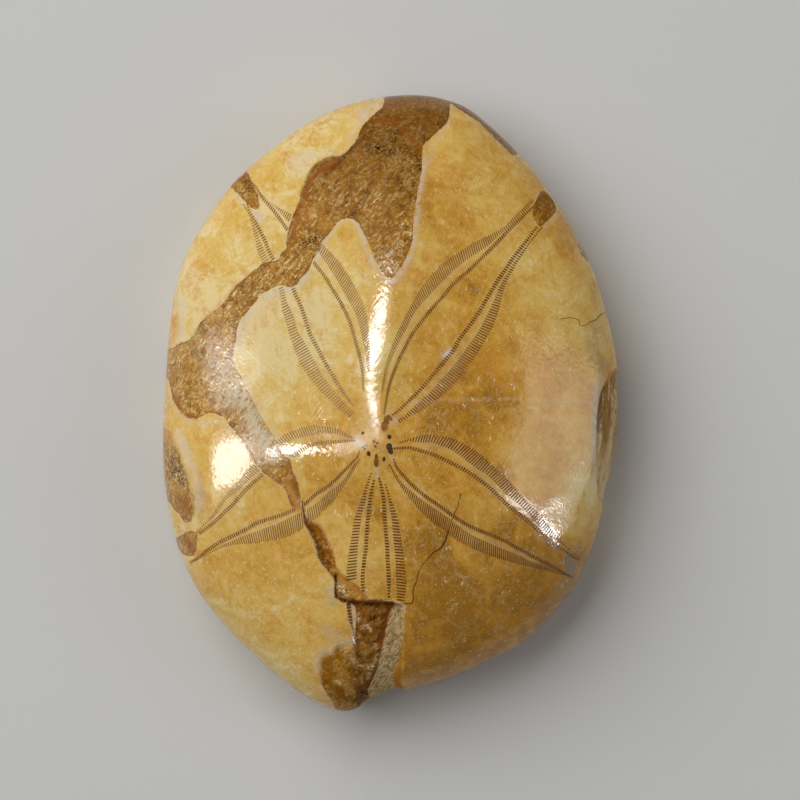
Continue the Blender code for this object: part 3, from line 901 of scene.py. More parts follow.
def make_stone():
    """The stone, ground and polished, with its markings stored on it."""
    rings, upper = stone_rings()
    points = np.vstack([[(*CROWN_AT, HEIGHT)], *rings, [(*CROWN_AT, DISH_DEPTH + MOUTH_DEPTH)]])
    faces, underside_from = stone_faces(rings, upper)
    order = np.arange(len(points))
    on_dome, top = (order <= sum(map(len, rings[:count])) for count in (DOME_RINGS, upper))
    at, height = points[:, :2], points[:, 2]
    out = at - CROWN_AT
    share = np.hypot(*out.T) / rim_radius(np.arctan2(out[:, 1], out[:, 0]))
    masks = stone_masks(at, height, share, on_dome, top)
    broken = np.maximum(masks["raw"], np.where(top, patch_depth(at, BROKEN_PATCHES), -DEPTH_LIMIT))
    off_breaks, off_rim = smoothstep(*POLISH_AT_BREAK, masks["raw"]), smoothstep(*POLISH_AT_RIM, share)
    polished = np.where(on_dome, off_breaks * off_rim, 0)
    sunk = ROCK_SINK * smoothstep(*ROCK_STEP, masks["rock"]) + ground_off(at)
    points[:, 2] += polished * (WAVINESS * wave(points) - sunk)

    mesh = bpy.data.meshes.new("fossil_stone")
    mesh.from_pydata(points.tolist(), [], faces)
    mesh.update()
    mesh.shade_smooth()
    broken_faces = [int(min(broken[v] for v in face) > BROKEN_FROM) for face in faces]
    mesh.polygons.foreach_set("material_index", broken_faces)
    for name, values in masks.items():
        add_attribute(mesh, name, values)
    lay_out_uv(mesh, rings, upper, underside_from)
    return add_object("fossil_stone", mesh)


# ---------------------------------------------------------------- node helpers
def connect(tree, socket, value):
    """Links a socket to another socket's output, or sets it to a plain value."""
    if isinstance(value, bpy.types.NodeSocket):
        tree.links.new(value, socket)
    elif value is not None:
        socket.default_value = value


def rgb(red, green, blue):
    """A colour given as it looks on a screen, 0 to 255."""
    def linear(c):
        c /= 255
        return c / 12.92 if c <= 0.04045 else ((c + 0.055) / 1.055) ** 2.4
    return (linear(red), linear(green), linear(blue), 1)


class Tree:
    """A node tree being built."""

    def __init__(self, tree):
        self.tree = tree

    def add(self, kind, inputs=None, **settings):
        node = self.tree.nodes.new(kind)
        for name, value in settings.items():
            setattr(node, name, value)
        for name, value in (inputs or {}).items():
            connect(self.tree, node.inputs[name], value)
        return node

    def math(self, operation, a, b=None, clamp=False):
        return self.add("ShaderNodeMath", {0: a, 1: b}, operation=operation, use_clamp=clamp).outputs[0]

    def vector(self, operation, a, b=None, scale=None):
        second = {"Scale": scale} if operation == "SCALE" else {1: b}
        node = self.add("ShaderNodeVectorMath", {0: a, **second}, operation=operation)
        return node.outputs["Value" if operation == "LENGTH" else "Vector"]

    def parts(self, value):
        """The three parts of a vector."""
        return self.add("ShaderNodeSeparateXYZ", {0: value}).outputs

    def whole(self, x=None, y=None, z=None):
        """A vector from its parts."""
        return self.add("ShaderNodeCombineXYZ", {0: x, 1: y, 2: z}).outputs[0]


class Finish(Tree):
    """A procedural material being built. Sizes are in millimetres and turns in degrees."""

    def __init__(self, name):
        self.material = bpy.data.materials.new(name)
        self.material.use_nodes = True
        super().__init__(self.material.node_tree)
        self.shader = self.tree.nodes["Principled BSDF"]
        self.where = self.vector("SCALE", self.add("ShaderNodeTexCoord").outputs["Object"], scale=1 / MM)

    def level(self, value, low, high, smooth=True):
        """0 below low and 1 above high, or the other way round where low is the greater."""
        inputs = {"Value": value, "From Min": low, "From Max": high}
        kind = "SMOOTHSTEP" if smooth else "LINEAR"
        return self.add("ShaderNodeMapRange", inputs, interpolation_type=kind).outputs["Result"]

    def times(self, first, *others):
        """Values multiplied together."""
        for other in others:
            first = self.math("MULTIPLY", first, other)
        return first

    def weigh(self, *parts, base=0.0):
        """The sum of base and of each (value, weight)."""
        total = base
        for value, weight in parts:
            node = self.add("ShaderNodeMath", {0: value, 1: weight, 2: total}, operation="MULTIPLY_ADD")
            total = node.outputs[0]
        return total

    def blend(self, amount, a, b):
        inputs = {0: amount, 6: a, 7: b}
        return self.add("ShaderNodeMix", inputs, data_type="RGBA", blend_type="MIX").outputs[2]

    def coat(self, under, colour, amount, *masks):
        """A colour laid over another, as strongly as amount times every mask."""
        for mask in masks:
            amount = self.math("MULTIPLY", mask, amount)
        return self.blend(amount, under, rgb(*colour))

    def ramp(self, value, first, *steps):
        """A colour that goes evenly from the first through every (from, to, colour)."""
        colour = rgb(*first)
        for low, high, following in steps:
            colour = self.coat(colour, following, self.level(value, low, high, smooth=False))
        return colour

    def stretched(self, size, turn=0.0, length=1.0):
        """Coordinates in which one unit is size millimetres, but length times as much along the turned Y."""
        scale = (size, size * length, size)
        inputs = {"Vector": self.where, "Rotation": (0, 0, radians(turn)), "Scale": scale}
        return self.add("ShaderNodeMapping", inputs, vector_type="TEXTURE").outputs["Vector"]

    def stirred(self, size, amount):
        """Coordinates in which one unit is size millimetres, bent about by a noise."""
        straight = self.stretched(size)
        inputs = {"Vector": straight, "Scale": 1.3, "Detail": 3.0}
        stir = self.add("ShaderNodeTexNoise", inputs).outputs["Color"]
        return self.vector("ADD", straight, self.vector("SCALE", stir, scale=amount))

    def round_crown(self, outward, along):
        """Coordinates for streaks that run round the crown: how broad each is outwards and how long it is."""
        away = self.vector("SUBTRACT", self.where, (*CROWN_AT / MM, 0))
        flat = self.vector("NORMALIZE", self.vector("MULTIPLY", away, (1, 1, 0)))
        way = self.parts(self.vector("SCALE", flat, scale=CIRCLING_AT / along))
        reach = self.math("DIVIDE", self.vector("LENGTH", away), outward)
        return self.whole(way[0], way[1], reach)

    def grain(self, size, detail=3.0, roughness=0.55, distortion=0.0, where=None):
        """A cloudy noise whose grains are about size millimetres across."""
        inputs = {"Scale": 1.0, "Detail": detail, "Roughness": roughness, "Distortion": distortion}
        inputs["Vector"] = where or self.stretched(size)
        return self.add("ShaderNodeTexNoise", inputs).outputs["Fac"]

    def streaks(self, size, turn, length, detail, roughness, distortion=0.0):
        """A noise drawn out into streaks: how broad, how turned, and how many times as long as broad."""
        return self.grain(1, detail, roughness, distortion, self.stretched(size, turn, length))

    def contour(self, value, at, width):
        """Curly lines where a value passes a level."""
        return self.level(self.math("ABSOLUTE", self.math("SUBTRACT", value, at)), width, width * 0.3)

    def spots(self, size, above, distortion=0.6):
        """Small ragged marks where a noise is high."""
        return self.level(self.grain(size, 2, 0.6, distortion), above, above + 0.04)

    def cells(self, where, feature="F1"):
        return self.add("ShaderNodeTexVoronoi", {"Scale": 1.0, "Vector": where}, feature=feature).outputs

    def flecks(self, size, turn, length, radius, share):
        """Small separate marks: radius is their reach in a cell, share the part of the cells with one."""
        cell = self.cells(self.stretched(size, turn, length))
        pick = self.add("ShaderNodeSeparateColor", {0: cell["Color"]}).outputs
        there = self.level(pick["Red"], 1 - share, 1 - share + 0.02)
        reach = self.weigh((pick["Green"], radius), base=0.35 * radius)
        near = self.math("SUBTRACT", 1.0, self.math("DIVIDE", cell["Distance"], reach), clamp=True)
        return self.times(there, self.level(near, 0.0, 0.3))

    def measure(self, name):
        """A value stored on the mesh."""
        return self.add("ShaderNodeAttribute", attribute_name=name).outputs["Fac"]

    def patchy(self, name, low, high, *grain):
        """A measure that comes and goes as a noise runs between low and high."""
        return self.times(self.measure(name), self.level(self.grain(*grain), low, high))

    def finish(self, colour, roughness, shine=0.5, height=None):
        """Sets the material's colour, roughness, strength of reflections and fine relief in millimetres."""
        inputs = {"Base Color": colour, "Roughness": roughness, "Specular IOR Level": shine}
        if height is not None:
            bump = self.add("ShaderNodeBump", {"Height": height, "Strength": 1.0, "Distance": MM})
            inputs["Normal"] = bump.outputs["Normal"]
        for name, value in inputs.items():
            connect(self.tree, self.shader.inputs[name], value)
        return self.material


# ---------------------------------------------------------------- finishes
def shell_colour(f):
    """Honey-coloured calcite: cloudy, mottled, and streaked round the crown."""
    to_right, to_rear, _ = f.parts(f.where)
    clouds = f.grain(4.2, 4, 0.62, 0.9)
    mottle = f.grain(1.0, 4, 0.7, 0.5)
    # Deeper amber towards the right and the front: partly the shell's own tone and partly painted shade where
    # the light falls off. The stored spots also add painted sheen, paler where soft reflections lie
    tone = f.weigh(
        (f.grain(13, 2, 0.5, 0.5), 0.75), (clouds, 0.8), (mottle, 0.42), (f.grain(0.3, 3, 0.7), 0.2),
        (f.grain(1, 3, 0.6, where=f.round_crown(0.8, 9.0)), 0.22),
        (to_right, 0.25 / 35), (to_rear, -0.13 / 47), (f.measure("amber_and_sheen"), 1.0),
    )  # fmt: skip
    tone = f.level(tone, 0.86, 1.56, smooth=False)
    colour = f.ramp(
        tone, (242, 216, 152), (0.0, 0.16, (236, 200, 112)), (0.16, 0.40, (229, 180, 84)),
        (0.40, 0.72, (208, 150, 46)), (0.72, 1.0, (168, 114, 18)),
    )  # fmt: skip
    orange = f.level(f.streaks(4.0, 20, 2.4, 3, 0.6, 1.0), 0.50, 0.66)
    colour = f.coat(colour, (218, 144, 44), 0.55, orange, f.level(mottle, 0.35, 0.6))
    wisps = f.level(f.streaks(2.0, 34, 3.3, 4, 0.65, 1.0), 0.56, 0.72)
    colour = f.coat(colour, (236, 212, 150), 0.28, wisps)
    curls = f.level(f.grain(0.6, 3, 0.65, 1.8), 0.56, 0.66)
    colour = f.coat(colour, (186, 128, 50), 0.16, curls)
    dust = f.grain(0.24, 2, 0.7)
    colour = f.coat(colour, (250, 230, 160), 0.09, f.level(dust, 0.50, 0.64))
    colour = f.coat(colour, (184, 126, 42), 0.10, f.level(dust, 0.48, 0.36))
    strokes = f.level(f.streaks(0.26, -24, 7.0, 2, 0.6, 0.3), 0.60, 0.70)
    colour = f.coat(colour, (250, 232, 176), 0.22, strokes)
    threads = f.contour(f.grain(2.3, 4, 0.6, 1.0), 0.5, 0.012)
    colour = f.coat(colour, (242, 220, 164), 0.35, threads, f.level(clouds, 0.45, 0.6))
    return f.coat(colour, (142, 92, 34), 0.35, f.spots(0.42, 0.70))


def shell_flecks_and_glints(f):
    """Short pale scratches and chips in the polish, lying in groups; their pale colour partly stands for
    painted glints of light on the scratches.
    """
    groups = f.level(f.grain(4.5, 3, 0.6), 0.44, 0.60)
    marks = f.times(f.spots(0.5, 0.75, 1.2), 0.6)
    for size, turn, length, radius, share in SCRATCHES:
        marks = f.math("MAXIMUM", f.flecks(size, turn, length, radius, share), marks)
    return f.times(marks, groups)


def rock_colour(f):
    """Golden brown rock: sandy, with slanting pale streaks, curled pale crystals and dark grains."""
    to_right, to_rear, _ = f.parts(f.where)
    broad = f.level(f.grain(4.5, 3, 0.6, 0.8), 0.40, 0.60)
    colour = f.blend(broad, rgb(166, 108, 20), rgb(196, 136, 42))
    # Paler towards the left: partly the rock's own tone and partly painted sheen where the left lamps shine
    # on it
    colour = f.coat(colour, (206, 168, 104), 0.3, f.level(to_right, -14, -27))
    golden = f.level(f.grain(1.9, 4, 0.7, 1.0), 0.50, 0.60)
    colour = f.coat(colour, (200, 132, 30), 0.55, golden)
    sand = f.grain(0.9, 4, 0.65)
    colour = f.coat(colour, (92, 48, 2), 0.36, f.level(sand, 0.46, 0.62))
    colour = f.coat(colour, (206, 154, 66), 0.45, f.level(sand, 0.46, 0.32))
    streaks = f.streaks(0.42, -42, 5.0, 3, 0.65, 0.5)
    streaky = f.weigh((f.level(f.grain(4.0, 2), 0.40, 0.56), 0.6), base=0.3)
    colour = f.coat(colour, (232, 196, 122), streaky, f.level(streaks, 0.55, 0.62))
    colour = f.coat(colour, (88, 44, 0), 0.36, f.level(streaks, 0.44, 0.37))
    groups = f.level(f.grain(3.2, 3, 0.6), 0.40, 0.58)
    crumbs = f.level(f.grain(0.75, 3, 0.6, 1.2), 0.56, 0.60)
    colour = f.coat(colour, (232, 194, 118), 0.75, crumbs, groups)
    grains = f.grain(1.2, 2, 0.6, 1.6)
    curls = f.level(f.grain(2.0, 2), 0.42, 0.52)
    colour = f.coat(colour, (240, 208, 140), 0.75, f.contour(grains, 0.58, 0.024), curls)
    colour = f.coat(colour, (230, 196, 124), 0.8, f.level(grains, 0.64, 0.67))
    colour = f.coat(colour, (80, 44, 8), 0.45, f.level(grains, 0.37, 0.34))
    needles = f.flecks(0.62, -40, 3.6, 0.24, 0.40)
    colour = f.coat(colour, (246, 226, 166), f.weigh((groups, 0.6), base=0.3), needles)
    threads = f.cells(f.stirred(2.6, 0.5), "DISTANCE_TO_EDGE")["Distance"]
    colour = f.coat(colour, (78, 38, 0), 0.40, f.level(threads, 0.05, 0.0))
    colour = f.coat(colour, (56, 34, 10), 0.6, f.spots(0.5, 0.63, 1.0), f.level(f.grain(4.5, 2), 0.46, 0.56))
    return f.coat(colour, (112, 66, 4), 0.68, f.level(to_rear, 24, 44))


def marked_shell(f, rock_depth, rust, lines, grey, flecks):
    """The shell with its seams, pale rims, grey bloom, scratches, rust and dark edges; the scratches' pale
    colour is partly painted glints, and one pale spot by the crown is a painted highlight.
    """
    shell = shell_colour(f)
    shell = f.coat(shell, (240, 212, 152), 0.26, f.measure("petal"))
    shell = f.coat(shell, (236, 210, 150), 0.30, f.patchy("seam", 0.42, 0.62, 2.5, 4, 0.7))
    # Pale rims, with one small painted highlight beside the crown
    shell = f.coat(shell, (224, 208, 184), 0.8, f.patchy("pale", 0.34, 0.56, 1.0, 4, 0.7))
    beside_rock = f.level(rock_depth, -0.75, -0.1)
    shell = f.coat(shell, (226, 200, 156), 0.4, beside_rock, f.level(f.grain(2.2, 3, 0.6), 0.42, 0.62))
    shell = f.coat(shell, (146, 134, 122), 0.85, grey)
    # Pale scratches and chips, partly painted glints of light on them
    shell = f.coat(shell, (250, 234, 188), 0.72, flecks)
    shell = f.coat(shell, (214, 132, 34), 0.85, rust)
    return f.coat(shell, (110, 66, 22), 0.8, lines, f.level(rock_depth, -0.35, -0.05))


def hollow_colour(f):
    """The hollow's fibres, like worn wood: brown at the rear and pale towards the front."""
    fine = f.streaks(0.42, -12, 9.0, 3, 0.6, 0.3)
    broad = f.streaks(1.2, -8, 7.0, 3, 0.6, 0.5)
    fibres = f.weigh((fine, 0.5), (broad, 0.5))
    colour = f.blend(f.level(f.parts(f.where)[1], -4, -11), rgb(172, 128, 62), rgb(226, 190, 134))
    colour = f.coat(colour, (240, 222, 180), 0.75, f.level(fibres, 0.52, 0.60))
    return f.coat(colour, (124, 84, 36), 0.55, f.level(fibres, 0.47, 0.40))


def marked_rock(f, rock_depth, rust, lines, grey, raw):
    """The rock with its edge, its ochre, rusty and tan lines, the hollow's fibres and the broken floors, with
    painted glare as pale silvery streaks on the left and painted shade along the top of the front break.
    """
    rock = rock_colour(f)
    edge = f.times(f.level(rock_depth, 0.36, 0.02), f.level(f.grain(3.0, 3, 0.6), 0.42, 0.58))
    rock = f.coat(rock, (92, 50, 8), 0.65, f.math("SUBTRACT", edge, f.measure("soft"), clamp=True))
    ochre = f.patchy("ochre", 0.30, 0.55, 1.6, 3, 0.6)
    tanned = f.patchy("tan", 0.30, 0.46, 0.7, 3, 0.6)
    rock = f.coat(rock, (146, 92, 6), 0.8, ochre)
    rock = f.coat(rock, (152, 78, 0), 0.85, rust)
    rock = f.coat(rock, (212, 156, 74), 0.85, tanned)
    # Dark lines: mostly the rock's own, but along the top of the front break painted shade under the step
    rock = f.coat(rock, (62, 26, 0), 0.9, lines)
    # Pale silvery streaks: painted glare on the rock at the left, and the rock's own pale streaks by the vein
    # and in the hollow
    silver_and_glare = f.times(f.measure("silver_and_glare"), f.level(f.streaks(0.5, -30, 3.0, 3, 0.6, 0.6), 0.34, 0.56))
    rock = f.coat(rock, (214, 194, 158), silver_and_glare)
    rock = f.coat(rock, (92, 98, 84), grey, f.spots(0.7, 0.5, 1.0))

    hollow = f.level(f.measure("rim_raw"), -0.1, 0.2)
    rock = f.blend(hollow, rock, hollow_colour(f))
    rock = f.coat(rock, (226, 204, 156), silver_and_glare, hollow)
    rock = f.coat(rock, (96, 60, 18), 0.7, lines, hollow)

    broken = f.times(raw, f.math("SUBTRACT", 1.0, hollow))
    marked = f.weigh((ochre, 0.5), (tanned, 0.5), (rust, 0.4))
    rock = f.coat(rock, (118, 62, 0), f.math("SUBTRACT", 0.6, marked, clamp=True), broken)
    rock = f.coat(rock, (62, 32, 2), 0.5, f.level(f.grain(0.9, 5, 0.7, 0.8), 0.48, 0.60), broken)
    rock = f.coat(rock, (232, 206, 152), f.patchy("crumbs", 0.44, 0.52, 0.45, 3, 0.6, 0.8))
    return f.coat(rock, (24, 24, 12), f.patchy("specks", 0.50, 0.56, 0.36, 2, 0.6, 0.8))


def chalk_colour(f):
    """The pale face of the front break: bundles of slanting crystals."""
    bundles = f.streaks(0.34, -34, 3.6, 4, 0.72, 0.6)
    colour = f.blend(f.level(bundles, 0.40, 0.60), rgb(222, 194, 142), rgb(164, 128, 78))
    return f.coat(colour, (92, 66, 30), 0.45, f.level(bundles, 0.60, 0.66))


def stone_relief(f, rock, raw, flecks):
    """The polish's slight unevenness and scratches, and the grain of the rock and of the broken floors."""
    grinding = [(f.streaks(0.33, turn, 8, 1, 0.5), 0.012) for turn in (-34, 48)]
    sandy = f.times(f.grain(1.0, 2, 0.6), rock)
    coarse = f.times(f.grain(0.9, 4, 0.65), raw)
    swells, fine = f.grain(1.1, 1, 0.5), f.grain(0.42, 1, 0.5)
    return f.weigh((swells, 0.028), (fine, 0.010), *grinding, (flecks, -0.03), (sandy, 0.02), (coarse, 0.22))


def stone_finish(name, shine):
    """The whole stone's look. Shine is the strength of its reflections, low where the stone is broken."""
    f = Finish(name)
    ragged = f.math("SUBTRACT", f.grain(0.9, 4, 0.62), 0.5)
    soft = f.measure("soft")
    rock_depth = f.weigh((ragged, 0.6), base=f.measure("rock"))
    rock = f.level(rock_depth, f.weigh((soft, -0.8), base=-0.05), f.weigh((soft, 0.45), base=0.07))
    chalk = f.level(f.weigh((ragged, 0.6), base=f.measure("chalk")), -0.05, 0.1)
    raw = f.level(f.weigh((ragged, 0.4), base=f.measure("raw")), -0.1, 0.25)
    rust = f.patchy("rust", 0.30, 0.55, 1.1, 4, 0.65)
    lines = f.patchy("dark", 0.30, 0.50, 0.8, 3, 0.6)
    grey = f.patchy("grey", 0.30, 0.72, 0.9, 5, 0.75)
    flecks = shell_flecks_and_glints(f)
    colour = marked_shell(f, rock_depth, rust, lines, grey, flecks)
    colour = f.blend(rock, colour, marked_rock(f, rock_depth, rust, lines, grey, raw))
    colour = f.blend(chalk, colour, chalk_colour(f))
    uneven, dull = f.grain(1.3, 4, 0.7), f.measure("dull")
    roughness = f.weigh((uneven, 0.12), (rock, 0.04), (raw, 0.2), (chalk, 0.35), (dull, 0.28), base=0.03)
    return f.finish(colour, roughness, shine, stone_relief(f, rock, raw, flecks))


def pore_finish():
    """Brown mineral in the pore slits, paler where the star is worn."""
    f = Finish("pore_filling")
    dark = f.blend(f.level(f.grain(0.9, 3, 0.6), 0.35, 0.65), rgb(92, 50, 4), rgb(130, 80, 20))
    uneven = f.math("SUBTRACT", f.grain(2.5, 3), 0.5)
    worn = f.weigh((f.measure("worn"), 1.0), (uneven, 0.7))
    return f.finish(f.coat(dark, (186, 140, 74), f.level(worn, 0.0, 1.0, False)), 0.3, 0.2)


def plate_finish():
    """The pores and plates at the crown, from dark to rusty."""
    f = Finish("crown_mineral")
    dark = f.blend(f.level(f.grain(0.5, 3, 0.7), 0.4, 0.6), rgb(62, 42, 14), rgb(96, 78, 34))
    rusty = f.blend(f.level(f.grain(0.6, 3, 0.7), 0.4, 0.6), rgb(140, 86, 28), rgb(168, 112, 46))
    return f.finish(f.blend(f.level(f.measure("worn"), 0.1, 0.9, False), dark, rusty), 0.18)


def crack_finish():
    """The dull brown of the cracks: painted shade in their narrow gaps."""
    f = Finish("crack_shadow")
    return f.finish(f.blend(f.grain(1.2, 3), rgb(104, 64, 22), rgb(76, 44, 12)), 0.9, 0.1)


# ---------------------------------------------------------------- geometry node pieces
class Maker(Tree):
    """A geometry node group being built, which lays pieces on the stone and gives them a finish."""

    def __init__(self, name, sizes):
        """Sizes are the group's own inputs with their kinds, between the stone and the finish."""
        super().__init__(bpy.data.node_groups.new(name, "GeometryNodeTree"))
        inputs = {"Geometry": "Geometry", "Stone": "Object", **sizes, "Finish": "Material"}
        for label, kind in inputs.items():
            self.tree.interface.new_socket(label, in_out="INPUT", socket_type="NodeSocket" + kind)
        self.tree.interface.new_socket("Geometry", in_out="OUTPUT", socket_type="NodeSocketGeometry")
        self.given = self.add("NodeGroupInput").outputs
        self.stone = self.add("GeometryNodeObjectInfo", {"Object": self.given["Stone"]}).outputs["Geometry"]

    def here(self):
        return self.add("GeometryNodeInputPosition").outputs[0]

    def stored(self, name, kind="FLOAT"):
        """A value that each point brings along."""
        node = self.add("GeometryNodeInputNamedAttribute", {"Name": name}, data_type=kind)
        return node.outputs["Attribute"]

    def store(self, geometry, name, value):
        inputs = {"Geometry": geometry, "Name": name, "Value": value}
        node = self.add("GeometryNodeStoreNamedAttribute", inputs, data_type="FLOAT", domain="POINT")
        return node.outputs[0]

    def compare(self, operation, a, b):
        return self.add("FunctionNodeCompare", {0: a, 1: b}, operation=operation).outputs[0]

    def turned(self, angle):
        """A turn to that angle, seen from above."""
        return self.add("FunctionNodeEulerToRotation", {0: self.whole(z=angle)}).outputs[0]

    def cloud(self, fineness, detail):
        """A noise at each point, with that many grains in a metre."""
        inputs = {"Vector": self.vector("SCALE", self.here(), scale=fineness), "Scale": 1.0, "Detail": detail}
        return self.add("ShaderNodeTexNoise", inputs).outputs

    def uneven(self, step, low, high):
        """A random value for each point, other for each step."""
        inputs = {2: low, 3: high, "Seed": self.math("ADD", self.given["Seed"], SEED_STEP * step)}
        return self.add("FunctionNodeRandomValue", inputs, data_type="FLOAT").outputs[1]

    def cast(self, position, attribute=None):
        """A ray straight down onto the stone from above a position, with the stone's own value there."""
        x, y, _ = self.parts(position)
        inputs = {"Target Geometry": self.stone, "Source Position": self.whole(x, y, RAY_HEIGHT)}
        inputs |= {"Ray Direction": (0, 0, -1), "Ray Length": RAY_LENGTH}
        if attribute:
            inputs["Attribute"] = self.stored(attribute)
        return self.add("GeometryNodeRaycast", inputs, data_type="FLOAT").outputs

    def on_stone(self, ray, offset):
        """Where a ray meets the stone, raised by the offset."""
        return self.vector("ADD", ray["Hit Position"], self.vector("SCALE", ray["Hit Normal"], scale=offset))

    def moved(self, geometry, **inputs):
        return self.add("GeometryNodeSetPosition", {"Geometry": geometry, **inputs}).outputs[0]

    def stirred(self, geometry, fineness, detail, reach):
        """The geometry with its points shifted about by a noise."""
        shift = self.vector("SUBTRACT", self.cloud(fineness, detail)["Color"], (0.5, 0.5, 0.5))
        return self.moved(geometry, Offset=self.vector("SCALE", shift, scale=reach))

    def evenly(self, length):
        """The given edges as a line, with a point at every length."""
        edge = self.add("GeometryNodeMeshToCurve", {0: self.given["Geometry"]}).outputs[0]
        inputs = {"Curve": edge, "Length": length}
        return self.add("GeometryNodeResampleCurve", inputs, mode="LENGTH").outputs[0]

    def laid(self, points, tile, angle, size, shown=None):
        """A real tile on every point that is shown, with its own height stored as its level."""
        inputs = {
            "Points": points, "Selection": shown, "Rotation": self.turned(angle), "Scale": size,
            "Instance": self.store(tile, "level", self.parts(self.here())[2]),
        }  # fmt: skip
        return self.real(self.add("GeometryNodeInstanceOnPoints", inputs).outputs[0])

    def real(self, geometry):
        return self.add("GeometryNodeRealizeInstances", {0: geometry}).outputs[0]

    def pressed(self, geometry):
        """Tiles pressed onto the stone: the upper side of each is just proud, and its lower side sunk."""
        ray = self.cast(self.here())
        inputs = {
            "Switch": self.compare("GREATER_THAN", self.stored("level"), 0.0),
            "False": self.math("MULTIPLY", self.given["Depth"], -1.0), "True": self.given["Lift"],
        }  # fmt: skip
        offset = self.add("GeometryNodeSwitch", inputs, input_type="FLOAT").outputs[0]
        return self.moved(geometry, Selection=ray["Is Hit"], Position=self.on_stone(ray, offset))

    def hand_over(self, geometry):
        """Ends the group, with every instance real and the finish on it."""
        inputs = {"Geometry": self.real(geometry), "Material": self.given["Finish"]}
        self.add("NodeGroupOutput", {0: self.add("GeometryNodeSetMaterial", inputs).outputs[0]})
        return self.tree


def slit_group():
    """Tiles side by side along an edge, each as long as the edge's "across" says, pressed onto the stone."""
    m = Maker("pore_slits", {
        "Spacing": "Float", "Slit width": "Float", "Taper": "Float", "Segments": "Int", "Lift": "Float",
        "Depth": "Float", "Wear": "Float", "Seed": "Int",
    })  # fmt: skip
    stops = m.evenly(m.given["Spacing"])
    across = m.stored("across", "FLOAT_VECTOR")
    factor = m.add("GeometryNodeSplineParameter").outputs["Factor"]
    ends = m.math("MULTIPLY", factor, m.math("SUBTRACT", 1.0, factor))
    taper = m.math("POWER", m.math("MULTIPLY", ends, TAPER_STEEPNESS, clamp=True), m.given["Taper"])
    reach = m.math("MULTIPLY", m.vector("LENGTH", across), taper)

    middle = m.vector("ADD", m.here(), m.vector("SCALE", across, scale=0.5))
    on_shell = m.compare("LESS_THAN", m.cast(middle, "rock")["Attribute"], SLITS_OFF_ROCK)
    long_enough = m.compare("GREATER_THAN", reach, SHORTEST_SLIT)
    shown = m.add("FunctionNodeBooleanMath", {0: on_shell, 1: long_enough}, operation="AND").outputs[0]

    width = m.math("MULTIPLY", m.given["Slit width"], m.uneven(1, 0.9, 1.1))
    length = m.math("MULTIPLY", reach, m.uneven(2, 0.95, 1.03))
    wear = m.math("ADD", m.given["Wear"], m.uneven(3, -0.12, 0.12))
    inputs = {"Size": (1, 1, 1), "Vertices X": 2, "Vertices Y": m.given["Segments"], "Vertices Z": 2}
    cube = m.add("GeometryNodeMeshCube", inputs).outputs["Mesh"]
    tile = m.add("GeometryNodeTransform", {"Geometry": cube, "Translation": (0, 0.5, 0)}).outputs[0]
    x, y, _ = m.parts(across)
    angle = m.math("ARCTAN2", m.math("MULTIPLY", x, -1.0), y)
    size = m.whole(width, length, m.given["Depth"])
    return m.hand_over(m.pressed(m.laid(m.store(stops, "worn", wear), tile, angle, size, shown)))


def plate_group():
    """A small ragged plate for each point, as large and turned as the point says, pressed onto the stone."""
    m = Maker("crown_plates", {"Lift": "Float", "Depth": "Float", "Raggedness": "Float"})
    round_tile = {"Vertices": PLATE_CORNERS, "Radius": 1.0, "Depth": 1.0}
    disc = m.add("GeometryNodeMeshCylinder", round_tile).outputs["Mesh"]
    plates = m.laid(m.given["Geometry"], disc, m.stored("turn"), m.stored("size", "FLOAT_VECTOR"))
    return m.hand_over(m.pressed(m.stirred(plates, PLATE_FINENESS, 1.0, m.given["Raggedness"])))


def crack_group():
    """A thin thread along a line, of uneven thickness, sunk in the stone so that only its top shows."""
    m = Maker("cracks", {"Thickness": "Float", "Proud": "Float", "Wander": "Float"})
    line = m.stirred(m.evenly(CRACK_STEP), WANDER_FINENESS, 3.0, m.given["Wander"])
    swell = m.math("ADD", m.cloud(SWELL_FINENESS, 2.0)["Fac"], 0.5)
    half = m.math("MULTIPLY", m.given["Thickness"], swell)
    sunk = m.math("SUBTRACT", m.given["Proud"], half)
    line = m.moved(line, Position=m.on_stone(m.cast(m.here()), sunk))
    circle = {"Resolution": CRACK_SIDES, "Radius": 1.0}
    profile = m.add("GeometryNodeCurvePrimitiveCircle", circle, mode="RADIUS")
    inputs = {"Curve": line, "Profile Curve": profile.outputs[0], "Fill Caps": True, "Scale": half}
    return m.hand_over(m.add("GeometryNodeCurveToMesh", inputs).outputs[0])


def plan_mesh(name, points, edges, vectors, numbers):
    """A mesh of plan points that pieces are laid along, with the values each point has."""
    mesh = bpy.data.meshes.new(name)
    mesh.from_pydata([(x, y, 0) for x, y in points], edges, [])
    for label, values in vectors.items():
        layer = mesh.attributes.new(label, "FLOAT_VECTOR", "POINT")
        layer.data.foreach_set("vector", np.asarray(values, np.float32).ravel())
    for label, values in numbers.items():
        add_attribute(mesh, label, values)
    return add_object(name, mesh)


def guide(name, line, across=None):
    """A line of the chart that pieces are laid along, each as far and as turned as across says."""
    vectors = {}
    if across is not None:
        vectors["across"] = np.column_stack([across * SQUARE * (1, -1), np.zeros(len(line))])
    return plan_mesh(name, place(line), [(i, i + 1) for i in range(len(line) - 1)], vectors, {})


def combed(line, sideways, lean):
    """Unit directions at a line's points: square to it, on the side given as 1 or -1, leaning to its end."""
    along = np.gradient(line, axis=0)
    along /= np.hypot(*along.T)[:, None]
    for _ in range(LEAN_EVENING):
        along[1:-1] = (along[:-2] + 2 * along[1:-1] + along[2:]) / 4
    run = run_along(line)
    angle = np.radians(np.interp(run / run[-1], np.linspace(0, 1, len(lean)), lean))[:, None]
    side = np.column_stack([along[:, 1], -along[:, 0]]) * sideways
    return np.cos(angle) * side + np.sin(angle) * along


